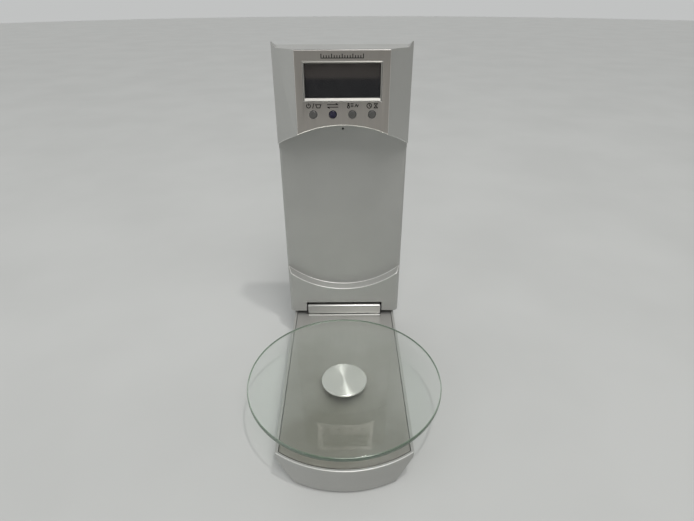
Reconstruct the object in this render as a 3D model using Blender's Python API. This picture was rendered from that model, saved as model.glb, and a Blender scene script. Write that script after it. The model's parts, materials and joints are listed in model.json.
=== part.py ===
"""A fold-down digital kitchen scale, as separate pieces, in metres with +Z up.

A low base carries a round glass platter on a load cell. An upright panel, hinged at the back of the
base, carries the display, four buttons, the electronics and the batteries, and has keyhole slots so
that the scale can hang on a wall with its base folded up against it.

The part's origin is on the table, under the middle of its bounding box, and -Y is the user's side.
Dimensions here are in millimetres, from a working point at the panel's lip on top of the deck: across
(X), back (Y) and up (Z). to_world moves a point from there to the part's origin, in metres.
"""

import math

import bmesh
import bpy
from mathutils import Matrix, Vector

METRES = 0.001
GAP = 0.3  # between pieces that touch
STEP_EDGE = 0.01  # how long a turned shape takes to change its radius at a square shoulder

# Driving dimensions of the base
OVERALL_DEPTH = 201.5
DECK_HEIGHT = 24.0  # the base's top face above the table
BASE_FLOOR = -22.0
BASE_SHOULDER = -4.5  # where the steep rim ends and the sloped side begins
BASE_HALF_WIDTH = 47.6
BASE_SHOULDER_HALF_WIDTH = 47.0
BASE_FLOOR_HALF_WIDTH = 35.5
APRON_RADIUS = 83.0
BASE_WALL = 2.1
DECK_SEAT = -3.5
BASE_SCREWS = ((-28, -140), (28, -140), (-27, -22), (27, -22))
FEET = ((-25, -148), (25, -148), (-25, 15), (25, 15))

# Driving dimensions of the platter
PLATTER_BACK = -99.4
GLASS_RADIUS = 75.0
GLASS_THICKNESS = 3.6
GLASS_TOP = 11.0
DISC_RADIUS = 17.6
HUB_HOLE_RADIUS = 10.5

# The load cell and its screws, from back to front
CELL_REAR, CELL_FRONT = -68.0, -131.0
CELL_LOW, CELL_HIGH = -17.2, -8.2
CELL_SCREWS = (-77.5, -71.5)
BRACKET_SCREWS = (-128.0, -121.6)
SCREW_CLEARANCE = 1.9  # radius of a hole around a 3 mm screw

# Driving dimensions of the panel
PANEL_DEPTH = 25.6  # from the lip's front face to the back
PANEL_HALF_WIDTH = 52.6
PANEL_TOP = 236.7
PANEL_BOTTOM = 3.0
PANEL_WALL = 2.1
RECESS_DEPTH = 10.0
HEAD_FRONT = -8.0
HEAD_EDGE_BACK = 5.0  # the head's wings slope back this far at the sides
FASCIA_HALF_WIDTH = 35.0
ARCH_CENTRE_UP = 96.1
ARCH_RADIUS = 86.5
LEDGE_CENTRE_UP = 106.0
LEDGE_RADIUS = 78.0
PANEL_SCREW_ACROSS = 44.0
PANEL_SCREWS_UP = (11.0, 228.0)
PROBE_UP = 175.75

# Display, buttons and electronics
FASCIA_FRONT = -9.5
LCD_HALF_WIDTH = 28.1
LCD_LOW = 203.2
LCD_HIGH = 227.5
BUTTONS_UP = 191.4
BUTTON_PITCH = 14.8
BUTTON_NAMES = ("tare_button", "unit_button", "temperature_button", "clock_button")
BOARD_FRONT, BOARD_BACK = -3.0, -1.4

# Back of the panel
COVER_FRONT = 23.4
TRAY_HALF_WIDTH = 25.2
TRAY_LOW = 198.0
TRAY_HIGH = 220.0
TRAY_FLOOR = 10.6
TRAY_WALL = 1.4
BATTERY_BACK = 16.6
BATTERIES_UP = (203.6, 214.4)
TONGUE_ACROSS = 15.0
KEYHOLE_ACROSS = 40.0
KEYHOLE_UP = 206.0
KEYHOLE_RISE = 9.0

# The fold hinge
HINGE_BACK = 0.8
HINGE_UP = 4.3
HINGE_CENTRE = (HINGE_BACK, HINGE_UP)
BARREL_RADIUS = 4.2
BROW_CENTRE = (-1.4, 9.2)  # the barrel's flat front ends in a rounded brow above
BROW_RADIUS = 2.0
BARREL_HALF_LENGTH = 34.4
PIN_BORE_RADIUS = 1.8
NOTCH_HALF_WIDTH = 35.95
NOTCH_TOP = 12.7
LEAD_ACROSS = 9.0
LEAD_RADIUS = 0.9

# Sides of round shapes
FINE_SIDES = 64
DISC_SIDES = 48
ROUND_SIDES = 28
SMALL_SIDES = 16
TINY_SIDES = 12
ARC_POINTS = 21


# ---------------------------------------------------------------- placing


def to_world(point):
    """A working point in metres, measured from the part's origin."""
    lip_front = OVERALL_DEPTH / 2 - PANEL_DEPTH
    return (Vector(point) + Vector((0, lip_front, DECK_HEIGHT))) * METRES


def ordered(side, near, far):
    """Two places across, mirrored to the left for side -1, lowest first."""
    return sorted((side * near, side * far))


def turned_to(axis, along, first, second):
    """A point from its place along an axis and its two coordinates across it, in X, Y, Z order."""
    return {
        "X": (along, first, second),
        "Y": (first, along, second),
        "Z": (first, second, along),
    }[axis]


# ---------------------------------------------------------------- materials


def make_material(name, colour, roughness, metallic=0.0, alpha=1.0):
    material = bpy.data.materials.new(name)
    material.use_nodes = True
    shader = material.node_tree.nodes["Principled BSDF"]
    shader.inputs["Base Color"].default_value = (*colour, 1.0)
    shader.inputs["Roughness"].default_value = roughness
    shader.inputs["Metallic"].default_value = metallic
    shader.inputs["Alpha"].default_value = alpha
    return material


def silver_paint(name):
    return make_material(name, (0.30, 0.31, 0.30), 0.42, 0.55)


def steel(name):
    return make_material(name, (0.55, 0.54, 0.52), 0.3, 1.0)


def black_steel(name):
    return make_material(name, (0.06, 0.06, 0.06), 0.45, 0.7)


def aluminium(name):
    return make_material(name, (0.75, 0.75, 0.76), 0.35, 1.0)


def black_plastic(name):
    return make_material(name, (0.03, 0.03, 0.035), 0.4)


def rubber(name):
    return make_material(name, (0.05, 0.05, 0.05), 0.85)


# ---------------------------------------------------------------- mesh helpers


def clear_scene():
    for obj in list(bpy.data.objects):
        bpy.data.objects.remove(obj, do_unlink=True)


def to_object(bm, name, material, pivot):
    """An object from a bmesh of working points, with its origin at the pivot."""
    bmesh.ops.recalc_face_normals(bm, faces=bm.faces)
    bmesh.ops.translate(bm, verts=bm.verts, vec=-Vector(pivot))
    bmesh.ops.scale(bm, verts=bm.verts, vec=(METRES, METRES, METRES))
    mesh = bpy.data.meshes.new(name)
    bm.to_mesh(mesh)
    bm.free()
    mesh.shade_smooth()
    mesh.set_sharp_from_angle(angle=math.radians(30))
    if material:
        mesh.materials.append(material)
    obj = bpy.data.objects.new(name, mesh)
    obj.location = to_world(pivot)
    bpy.context.scene.collection.objects.link(obj)
    return obj


def loft(name, sections, axis="Z", material=None, pivot=(0, 0, 0)):
    """A solid through outlines with equal counts of points: sections is a list of (along, outline)."""
    bm = bmesh.new()
    rings = [
        [bm.verts.new(turned_to(axis, along, u, v)) for u, v in outline]
        for along, outline in sections
    ]
    for low, high in zip(rings, rings[1:]):
        for i in range(len(low)):
            j = (i + 1) % len(low)
            bm.faces.new((low[i], low[j], high[j], high[i]))
    bm.faces.new(rings[0])
    bm.faces.new(rings[-1])
    return to_object(bm, name, material, pivot)


def prism(name, outline, low, high, axis, material=None):
    return loft(name, [(low, outline), (high, outline)], axis, material)


def box(name, low, high, material=None, pivot=(0, 0, 0)):
    corners = ((low[0], low[1]), (high[0], low[1]), (high[0], high[1]), (low[0], high[1]))
    return loft(name, [(low[2], corners), (high[2], corners)], "Z", material, pivot)


def lathe(name, profile, centre, axis, material=None, sides=ROUND_SIDES, pivot=(0, 0, 0)):
    """A turned solid: profile is (along, radius) from one end to the other, centre is across the axis."""
    sections = [(along, circle(radius, centre, sides)) for along, radius in profile]
    return loft(name, sections, axis, material, pivot)


def rod(name, low, high, radius, centre, axis, sides=SMALL_SIDES, material=None):
    return lathe(name, [(low, radius), (high, radius)], centre, axis, material, sides)


def hull(name, points):
    bm = bmesh.new()
    for point in points:
        bm.verts.new(point)
    bmesh.ops.convex_hull(bm, input=bm.verts)
    return to_object(bm, name, None, (0, 0, 0))


def hang_on(child, parent):
    """Parents an object without moving it."""
    child.parent = parent
    child.matrix_parent_inverse = Matrix.Translation(-parent.location)


def combine(target, others, operation):
    for other in others:
        modifier = target.modifiers.new(other.name, "BOOLEAN")
        modifier.operation = operation
        modifier.object = other
        other.hide_render = True
        other.display_type = "WIRE"
        hang_on(other, target)


def cut(target, *cutters):
    combine(target, cutters, "DIFFERENCE")


def weld_on(target, *others):
    combine(target, others, "UNION")


def smooth_route(points, steps):
    """Points along a Catmull-Rom curve through the given points."""
    ends = [points[0] * 2 - points[1], *points, points[-1] * 2 - points[-2]]
    route = []
    for a, b, c, d in zip(ends, ends[1:], ends[2:], ends[3:]):
        for i in range(steps):
            t = i / steps
            slope, bend, twist = c - a, 2 * a - 5 * b + 4 * c - d, 3 * b - a - 3 * c + d
            route.append(0.5 * (2 * b + slope * t + bend * t**2 + twist * t**3))
    return [*route, points[-1]]


def wire(name, points, radius, material):
    """A round lead along a smooth curve through the given points."""
    route = smooth_route([to_world(point) for point in points], 3)
    curve = bpy.data.curves.new(name, "CURVE")
    curve.dimensions = "3D"
    curve.bevel_depth = radius * METRES
    curve.bevel_resolution = 1
    curve.use_fill_caps = True
    curve.materials.append(material)
    spline = curve.splines.new("POLY")
    spline.points.add(len(route) - 1)
    for spot, place in zip(spline.points, route):
        spot.co = (*place, 1.0)
    obj = bpy.data.objects.new(name, curve)
    bpy.context.scene.collection.objects.link(obj)


# ---------------------------------------------------------------- outlines


def arc(centre, radius, start, end, count):
    """Points along an arc, both ends included. Angles are in degrees."""
    angles = [math.radians(start + (end - start) * i / (count - 1)) for i in range(count)]
    return [(centre[0] + radius * math.cos(a), centre[1] + radius * math.sin(a)) for a in angles]


def circle(radius, centre, sides):
    return arc(centre, radius, 0, 360 - 360 / sides, sides)


def arc_across(centre_up, radius, half_width, side):
    """A circle's stretch between two places across, above its centre (side 1) or below it (side -1)."""
    start = math.degrees(math.acos(-half_width / radius)) * side
    end = math.degrees(math.acos(half_width / radius)) * side
    return arc((0, centre_up), radius, start, end, ARC_POINTS)


def base_outline(half_width, inset, rear=PANEL_DEPTH):
    """The base from above: an arc in front, parallel sides and a square back."""
    centre_back = PANEL_DEPTH - OVERALL_DEPTH + APRON_RADIUS
    front = arc_across(centre_back, APRON_RADIUS - inset, half_width, -1)
    return [*front, (half_width, rear), (-half_width, rear)]


def arch(half_width, extra=0.0):
    """The head's lower edge, from left to right."""
    return arc_across(ARCH_CENTRE_UP, ARCH_RADIUS + extra, half_width, 1)


def ledge(half_width, extra=0.0):
    """The ledge under the recess, from left to right."""
    return arc_across(LEDGE_CENTRE_UP, LEDGE_RADIUS + extra, half_width, -1)


def mirrored(half):
    """A symmetric outline from its right half."""
    return [(-x, y) for x, y in reversed(half)] + half


# ---------------------------------------------------------------- the panel's housing


def panel_screw_places():
    return [(side * PANEL_SCREW_ACROSS, up) for up in PANEL_SCREWS_UP for side in (-1, 1)]


def button_places():
    return [(BUTTON_PITCH * (i - 1.5), BUTTONS_UP) for i in range(len(BUTTON_NAMES))]


def make_panel_housing():
    """The front shell: head above, recess for the platter's outline, ledge and lip below."""
    side, edge = PANEL_HALF_WIDTH, 1.5
    overlap = RECESS_DEPTH + 2
    back_block = [(side - edge, RECESS_DEPTH), (side, RECESS_DEPTH + edge), (side, PANEL_DEPTH)]
    head_block = [(FASCIA_HALF_WIDTH + GAP, HEAD_FRONT), (side, HEAD_EDGE_BACK), (side, overlap)]
    lip_block = [(49.0, 0.0), (51.4, 3.0), (52.3, overlap)]
    head_low, lip_high = 160.0, 50.0
    paint = silver_paint("panel silver")
    housing = prism("panel_housing", mirrored(back_block), PANEL_BOTTOM, PANEL_TOP, "Z", paint)
    weld_on(
        housing,
        prism("head_block", mirrored(head_block), head_low, PANEL_TOP, "Z"),
        prism("lip_block", mirrored(lip_block), PANEL_BOTTOM, lip_high, "Z"),
    )
    past_side = 60.0
    recess = [*arch(past_side), *reversed(ledge(past_side))]
    notch_low, notch_high = (-NOTCH_HALF_WIDTH, -5, -5), (NOTCH_HALF_WIDTH, 8, NOTCH_TOP)
    cut(
        housing,
        prism("recess_cut", recess, HEAD_FRONT - 7, RECESS_DEPTH, "Y"),
        box("notch_cut", notch_low, notch_high),
    )
    hollow_out(housing)
    weld_on(housing, *[make_horn(side) for side in (-1, 1)])
    add_screw_posts(housing)
    open_head_front(housing)
    open_for_hinge_and_probe(housing)


def hollow_out(housing):
    """The space behind the front walls, open to the back."""
    side = PANEL_HALF_WIDTH - PANEL_WALL
    low, high = PANEL_BOTTOM + PANEL_WALL, PANEL_TOP - PANEL_WALL
    recess_back = RECESS_DEPTH + PANEL_WALL
    overlap = recess_back + 1
    main = box("back_cavity", (-side, recess_back, low), (side, PANEL_DEPTH + 5, high))
    head_half = [
        (FASCIA_HALF_WIDTH - 0.9, HEAD_FRONT + PANEL_WALL),
        (side, HEAD_EDGE_BACK + 1),
        (side, overlap),
    ]
    head = prism("head_cavity", mirrored(head_half), 150, high, "Z")
    arch_wall = ARCH_RADIUS + PANEL_WALL
    cut(head, rod("arch_keep", -20, 20, arch_wall, (0, ARCH_CENTRE_UP), "Y", sides=72))
    lip_side = 47.5
    notch_side, notch_top = NOTCH_HALF_WIDTH + PANEL_WALL, NOTCH_TOP + PANEL_WALL
    lip_half = [(notch_side, notch_top), (notch_side, low), (lip_side, low)]
    lip_outline = [*mirrored(lip_half), *reversed(ledge(lip_side, PANEL_WALL))]
    cut(housing, main, head, prism("lip_cavity", lip_outline, PANEL_WALL, overlap, "Y"))


def make_horn(side):
    """The small raised corner at the top of each long edge, highest in front."""
    inner, outer = 48.6, PANEL_HALF_WIDTH
    slope = (HEAD_EDGE_BACK - HEAD_FRONT) / (outer - FASCIA_HALF_WIDTH - GAP)
    low, top = PANEL_TOP - 1, PANEL_TOP + 3.9
    crest = 0.9
    points = [
        (inner, HEAD_EDGE_BACK - slope * (outer - inner), low),
        (outer, HEAD_EDGE_BACK, low),
        (outer, 22, low),
        (inner, 18, low),
        (outer - crest, HEAD_EDGE_BACK - slope * crest, top),
        (outer, HEAD_EDGE_BACK, top),
        (outer, HEAD_EDGE_BACK + 2, top),
    ]
    return hull(f"horn_{side}", [(side * x, y, z) for x, y, z in points])


def add_screw_posts(housing):
    """Four posts behind the front wall, which take the rear cover's screws."""
    end = COVER_FRONT - GAP
    for number, (across, up) in enumerate(panel_screw_places()):
        front = 1.0 if up < PANEL_TOP / 2 else 2.0
        weld_on(housing, rod(f"post_{number}", front, end, 3.4, (across, up), "Y"))
        hole = rod(f"post_hole_{number}", 12, end + 1, 1.75, (across, up), "Y", TINY_SIDES)
        cut(housing, hole)


def open_head_front(housing):
    """The display's opening and the four button holes in the head's front wall."""
    front, back = HEAD_FRONT - 5, HEAD_FRONT + PANEL_WALL + 1
    side = LCD_HALF_WIDTH + 1.3
    cut(housing, box("display_cut", (-side, front, LCD_LOW - 2.6), (side, back, LCD_HIGH + 1.8)))
    for number, place in enumerate(button_places()):
        cut(housing, rod(f"button_cut_{number}", front, back, 4.3, place, "Y"))


def open_for_hinge_and_probe(housing):
    """A vent hole for the temperature probe, a slot for the lead and slots for the hinge's ears."""
    lead_low, lead_high = (LEAD_ACROSS - 2, 7.5, 2), (LEAD_ACROSS + 2, 13.5, 16)
    cut(
        housing,
        rod("vent_cut", RECESS_DEPTH - 2, RECESS_DEPTH + 4, 0.9, (0, PROBE_UP), "Y", TINY_SIDES),
        box("lead_cut", lead_low, lead_high),
    )
    for side in (-1, 1):
        near, far = ordered(side, 34.4, 36.0)
        cut(housing, box(f"ear_slot_{side}", (near, 7, 2), (far, 13.5, 13)))


# ---------------------------------------------------------------- display, buttons and electronics


def make_fascia():
    """The warm grey plate on the head, with its lower edge on the arch."""
    side, top = FASCIA_HALF_WIDTH, PANEL_TOP - GAP
    outline = [*arch(side, GAP), (side, top), (-side, top)]
    metal = make_material("fascia metal", (0.25, 0.235, 0.22), 0.4, 0.8)
    fascia = prism("display_fascia", outline, FASCIA_FRONT, HEAD_FRONT - GAP, "Y", metal)
    window_side = LCD_HALF_WIDTH + 1.1
    window_low, window_high = (-window_side, -20, LCD_LOW - 2.4), (window_side, 0, LCD_HIGH + 1.6)
    cut(fascia, box("fascia_window", window_low, window_high))
    for number, place in enumerate(button_places()):
        cut(fascia, rod(f"fascia_hole_{number}", -20, 0, 3.1, place, "Y"))


def make_display():
    """A bright frame around a clear window, with the liquid crystal cell behind it."""
    side = LCD_HALF_WIDTH
    bezel_low, bezel_high = (-side - 0.8, -10.0, LCD_LOW - 2.1), (side + 0.8, -7.6, LCD_HIGH + 1.3)
    bezel_silver = make_material("bezel silver", (0.5, 0.5, 0.48), 0.3, 0.6)
    bezel = box("lcd_bezel", bezel_low, bezel_high, bezel_silver)
    cut(bezel, box("bezel_opening", (-side, -20, LCD_LOW), (side, 0, LCD_HIGH)))
    window_low, window_high = (GAP - side, -8.9, LCD_LOW + GAP), (side - GAP, -8.0, LCD_HIGH - GAP)
    clear = make_material("window clear", (0.9, 0.9, 0.9), 0.05, alpha=0.3)
    box("lcd_window", window_low, window_high, clear)
    cell_low, cell_high = (-28.0, -7.3, LCD_LOW - 0.6), (28.0, -5.2, LCD_HIGH + 0.7)
    box("lcd_cell", cell_low, cell_high, make_material("lcd dark", (0.04, 0.037, 0.037), 0.2))
    strip_low, strip_high = (-24, -4.9, LCD_LOW + 0.4), (24, BOARD_FRONT - GAP, LCD_LOW + 2.4)
    box("zebra_strip", strip_low, strip_high, make_material("zebra grey", (0.2, 0.2, 0.22), 0.8))


def make_button(name, place):
    """A cap with a dished front, a collar that the fascia holds in, and a stem towards its switch."""
    colour = (0.02, 0.02, 0.05) if name == "unit_button" else (0.19, 0.19, 0.175)
    front, collar_front, collar_back, stem_back = -10.3, -8.0, -7.2, -6.3
    cap, collar, stem = 2.8, 3.8, 1.5
    profile = [
        (front, cap - 0.6), (front + 0.2, cap - 0.05), (collar_front, cap),
        (collar_front + STEP_EDGE, collar), (collar_back, collar),
        (collar_back + STEP_EDGE, stem), (stem_back, stem),
    ]
    plastic = make_material(name + " plastic", colour, 0.35)
    lathe(name, profile, place, "Y", plastic, SMALL_SIDES, (place[0], front, place[1]))


def make_tact_switch(name, place):
    half, front, back = 2.4, -5.0, BOARD_FRONT - GAP
    low = (place[0] - half, front, place[1] - half)
    high = (place[0] + half, back, place[1] + half)
    switch = box(name, low, high, black_plastic(name + " body"))
    weld_on(switch, rod(name + "_plunger", front - 0.6, front + 1, 1.0, place, "Y", TINY_SIDES))


def make_electronics():
    green = make_material("board green", (0.02, 0.12, 0.05), 0.5)
    box("main_board", (-32, BOARD_FRONT, 186), (32, BOARD_BACK, 231), green)
    on_board, parts_up = BOARD_BACK + GAP, 212.0
    dome = [(on_board, 6.0), (-0.4, 5.6), (0.1, 4.4), (0.4, 2.5)]
    epoxy = black_plastic("chip epoxy")
    lathe("controller_chip", dome, (0, parts_up), "Y", epoxy, SMALL_SIDES)
    can = steel("crystal can")
    rod("clock_crystal", parts_up - 4, parts_up + 2, 1.0, (20, 0.2), "Z", TINY_SIDES, can)
    case = black_plastic("buzzer case")
    rod("buzzer", on_board, on_board + 3.3, 6.0, (-20, parts_up), "Y", SMALL_SIDES, case)
    bead = [(12.6, 0.7), (12.9, 1.2), (15.5, 1.2), (16.0, 0.7)]
    bead_epoxy = black_plastic("probe epoxy")
    lathe("temperature_probe", bead, (0, PROBE_UP), "Y", bead_epoxy, TINY_SIDES)
    for number, (name, place) in enumerate(zip(BUTTON_NAMES, button_places()), 1):
        make_button(name, place)
        make_tact_switch(f"tact_switch_{number}", place)


# ---------------------------------------------------------------- back of the panel


def make_rear_cover():
    """A flat back with a battery tray, keyhole slots and countersunk screw holes."""
    grey = silver_paint("rear silver")
    cover = box("rear_cover", (-50.2, COVER_FRONT, 5.4), (50.2, PANEL_DEPTH, 234.3), grey)
    side, wall = TRAY_HALF_WIDTH, TRAY_WALL
    outer_low = (-side - wall, TRAY_FLOOR - wall, TRAY_LOW - wall)
    outer_high = (side + wall, COVER_FRONT + 1, TRAY_HIGH + wall)
    weld_on(cover, box("tray_block", outer_low, outer_high))
    inner_low, inner_high = (-side, TRAY_FLOOR, TRAY_LOW), (side, PANEL_DEPTH + 5, TRAY_HIGH)
    cut(cover, box("tray_hollow", inner_low, inner_high))
    for side in (-1, 1):
        near, far = ordered(side, TONGUE_ACROSS - 3, TONGUE_ACROSS + 3)
        slot_low, slot_high = (near, 20.4, TRAY_HIGH - 1), (far, COVER_FRONT - 0.1, TRAY_HIGH + 5)
        cut(cover, box(f"tongue_slot_{side}", slot_low, slot_high), make_keyhole(side))
    sink, shank, head = COVER_FRONT + 0.9, 1.8, 3.3
    hole = [(20, shank), (sink, shank), (sink + STEP_EDGE, head), (30, head)]
    for number, place in enumerate(panel_screw_places()):
        cut(cover, lathe(f"cover_hole_{number}", hole, place, "Y", sides=SMALL_SIDES))


def make_keyhole(side):
    """A round hole for a screw's head with a slot above it for the screw's neck."""
    neck, head = 2.2, 4.5
    centre = (side * KEYHOLE_ACROSS, KEYHOLE_UP)
    slot_end = (centre[0], centre[1] + KEYHOLE_RISE)
    start = math.degrees(math.acos(neck / head))
    outline = [*arc(slot_end, neck, 0, 180, 9), *arc(centre, head, 180 - start, 360 + start, 17)]
    return prism(f"keyhole_{side}", outline, 20, 30, "Y")


def make_battery_door():
    """A flush door that swings out about its top edge on two tongues under the cover."""
    side, inside = TRAY_HALF_WIDTH - GAP, 24.0
    low, high = TRAY_LOW + GAP, TRAY_HIGH - GAP
    grey = silver_paint("door silver")
    pivot = (0, PANEL_DEPTH, TRAY_HIGH)
    door = box("battery_door", (-side, inside, low), (side, PANEL_DEPTH, high), grey, pivot)
    for side in (-1, 1):
        near, far = ordered(side, TONGUE_ACROSS - 2.6, TONGUE_ACROSS + 2.6)
        root_low, root_high = (near, inside - 2, high - 3), (far, inside + 0.5, high - 0.5)
        hook_low, hook_high = (near, inside - 2.3, high - 3), (far, inside - 1, high + 2.4)
        weld_on(
            door,
            box(f"tongue_root_{side}", root_low, root_high),
            box(f"tongue_hook_{side}", hook_low, hook_high),
        )


def make_batteries():
    """Two AAA cells that point opposite ways, between two contact plates."""
    can, length = 5.2, 21.4
    profile = [
        (-length, can - 2.2), (0.1 - length, can - 0.2), (0.4 - length, can), (length - 0.4, can),
        (length - 0.1, can - 0.2), (length, 1.9), (length + 0.9, 1.9),
    ]
    for number, (side, up) in enumerate(zip((1, -1), BATTERIES_UP), 1):
        sleeve = make_material(f"battery sleeve {number}", (0.12, 0.13, 0.16), 0.35, 0.3)
        turned = [(side * along, radius) for along, radius in profile]
        lathe(f"battery_{number}", turned, (BATTERY_BACK, up), "X", sleeve, SMALL_SIDES)
    for name, side in (("battery_contact_left", -1), ("battery_contact_right", 1)):
        near, far = ordered(side, 24.3, 24.8)
        plate = box(name, (near, 11.2, 199), (far, 21.6, 219), steel(name + " plate"))
        for number, up in enumerate(BATTERIES_UP):
            cone = sorted(((side * 24.5, 3.4), (side * 22.7, 2.0)))
            spring = lathe(f"{name}_cone_{number}", cone, (BATTERY_BACK, up), "X", sides=TINY_SIDES)
            weld_on(plate, spring)


def make_screw(name, axis, centre, tip, neck, top, shank, head):
    """A pan-head screw along an axis, from its tip past its neck to the top of its head."""
    toward = 1 if top > tip else -1
    profile = [
        (tip, shank / 2), (tip + toward, shank), (neck, shank), (neck + toward * STEP_EDGE, head),
        (top - toward * 0.3, head), (top, head * 0.75),
    ]
    lathe(name, profile, centre, axis, steel(name + " steel"), TINY_SIDES)


def make_cover_screws():
    neck = COVER_FRONT + 1.2
    for number, place in enumerate(panel_screw_places(), 1):
        make_screw(f"cover_screw_{number}", "Y", place, 14, neck, neck + 0.9, 1.4, 2.9)


# ---------------------------------------------------------------- hinge and leads


def make_hinge_barrel():
    """A hollow flat-fronted tube with two legs that stand in the base, and a skirt in front."""
    end, middle = BARREL_HALF_LENGTH, 21.0
    back_tangent = 48
    outline = [
        *arc(HINGE_CENTRE, BARREL_RADIUS, 180, 360 + back_tangent, 25),
        *arc(BROW_CENTRE, BROW_RADIUS, back_tangent, 180, 13),
    ]
    barrel = prism("hinge_barrel", outline, -end, end, "X", silver_paint("barrel silver"))
    weld_on(barrel, box("barrel_skirt", (-end, -4.2, -1.0), (end, -1.5, 0.4)))
    for side in (-1, 1):
        near, far = ordered(side, 24, 33)
        weld_on(barrel, box(f"barrel_leg_{side}", (near, -3.0, -19.6), (far, 4.6, 1.0)))
    sweep = [HINGE_CENTRE, *arc(HINGE_CENTRE, 8, -110, 45, 9)]
    cut(
        barrel,
        rod("pin_bore", -end - 1, end + 1, PIN_BORE_RADIUS, HINGE_CENTRE, "X"),
        rod("lead_bore", -middle, middle, 3.0, HINGE_CENTRE, "X"),
        prism("lead_slot", sweep, LEAD_ACROSS - 2.8, LEAD_ACROSS + 2.8, "X"),
        box("lead_hole", (-LEAD_ACROSS - 2, -1.0, -3), (2 - LEAD_ACROSS, 2.6, HINGE_UP)),
    )


def make_hinge_brackets():
    """A steel ear on each side of the barrel, turned out behind the panel's front wall, and its pin."""
    ear = [
        *arc(HINGE_CENTRE, 3.4, 110, 290, 13),
        (6, 3.6), (13.6, 5.6), (13.6, 12.4), (6, 11.0),
    ]
    for name, side in (("left", -1), ("right", 1)):
        near, far = ordered(side, 34.75, 35.6)
        dark = black_steel(f"bracket steel {name}")
        bracket = prism(f"hinge_bracket_{name}", ear, near, far, "X", dark)
        near, far = ordered(side, 34.75, 40)
        weld_on(bracket, box(f"flange_{name}", (near, 12.6, 5.6), (far, 13.6, 18)))
        near, far = ordered(side, 30, 40)
        cut(bracket, rod(f"ear_hole_{name}", near, far, PIN_BORE_RADIUS, HINGE_CENTRE, "X"))
        pin = sorted(((side * 23, 1.2), (side * 24, 1.5), (side * 35.5, 1.5)))
        pin_steel = steel(f"pin steel {name}")
        lathe(f"hinge_pin_{name}", pin, HINGE_CENTRE, "X", pin_steel, SMALL_SIDES)


def make_stop_pads():
    """Rubber pads under the panel, which land on the base when the scale is opened."""
    for name, side in (("left", -1), ("right", 1)):
        near, far = ordered(side, 38, 44)
        pad = rubber(f"pad rubber {name}")
        box(f"stop_pad_{name}", (near, 13, GAP), (far, 21, PANEL_BOTTOM - GAP), pad)


def make_leads():
    """The load cell's lead, in two halves that meet end to end on the hinge axis inside the barrel."""
    grey = make_material("lead grey", (0.2, 0.2, 0.2), 0.6)
    over, half_gap = LEAD_ACROSS, 0.2
    base_route = [
        (8, -92, -12.5), (over, -80, -14), (over, -60, -16), (0, -40, -17), (-over, -20, -17),
        (-over, -6, -17), (-over, 0.8, -13), (-over, 0.8, -5), (-over, 0.8, 0.5), (-7.8, 0.8, 3.4),
        (-5.4, *HINGE_CENTRE), (-half_gap, *HINGE_CENTRE),
    ]
    panel_route = [
        (half_gap, *HINGE_CENTRE), (5.4, *HINGE_CENTRE), (8, 0.8, 3.2), (over, 1.2, 0.4),
        (over, 2.6, -2.6), (over, 5.6, -3.6), (over, 8.4, -1.8), (over, 9.6, 1.6), (over, 10.6, 6),
        (over, 13.6, 12), (over, 16, 22), (over, 16, 60), (over, 16, 120), (over, 16, 176),
        (over, 13, 187), (over, 6, 191), (over, 1.2, 190.5),
    ]
    wire("cell_lead", base_route, LEAD_RADIUS, grey)
    wire("panel_lead", panel_route, LEAD_RADIUS, grey.copy())


# ---------------------------------------------------------------- base


def make_base_housing():
    """A tray with sloped sides, a seat for the deck, and bosses for its screws."""
    sections = [
        (BASE_FLOOR, base_outline(BASE_FLOOR_HALF_WIDTH, 1.3)),
        (BASE_SHOULDER, base_outline(BASE_SHOULDER_HALF_WIDTH, 0.1)),
        (0, base_outline(BASE_HALF_WIDTH, 0)),
    ]
    housing = loft("base_housing", sections, "Z", silver_paint("base silver"))
    wall, seat = BASE_WALL, BASE_WALL + 2.2
    rear = PANEL_DEPTH - wall
    pocket = base_outline(BASE_HALF_WIDTH - wall, wall, rear)
    cavity_top = base_outline(BASE_HALF_WIDTH - seat, seat, rear)
    cavity = [
        (BASE_FLOOR + 2, base_outline(BASE_FLOOR_HALF_WIDTH - wall, 4, rear)),
        (BASE_SHOULDER - 1, cavity_top),
        (DECK_SEAT + 1, cavity_top),
    ]
    cut(housing, prism("deck_pocket", pocket, DECK_SEAT, 5, "Z"), loft("base_cavity", cavity))
    floor_top = BASE_FLOOR + 1.5
    weld_on(housing, box("cell_boss", (-7, -81, floor_top), (7, CELL_REAR, CELL_LOW - GAP)))
    for number, place in enumerate(BASE_SCREWS):
        weld_on(housing, rod(f"base_post_{number}", BASE_FLOOR + 1, -12.4, 3.6, place, "Z"))
        cut(housing, screw_hole(f"base_hole_{number}", place, -11, 3.2))
    for number, back in enumerate(CELL_SCREWS):
        cut(housing, screw_hole(f"cell_hole_{number}", (0, back), -17, 2.7))
    for number, place in enumerate(FEET):
        cut(housing, rod(f"foot_pocket_{number}", BASE_FLOOR - 3, BASE_FLOOR + 1, 5.9, place, "Z"))


def screw_hole(name, centre, top, head):
    """A hole from below with room for the screw's head at the bottom."""
    sink = BASE_FLOOR + 1.3
    profile = [
        (BASE_FLOOR - 2, head), (sink, head), (sink + STEP_EDGE, SCREW_CLEARANCE), (top, SCREW_CLEARANCE),
    ]
    return lathe(name, profile, centre, "Z", sides=SMALL_SIDES)


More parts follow.
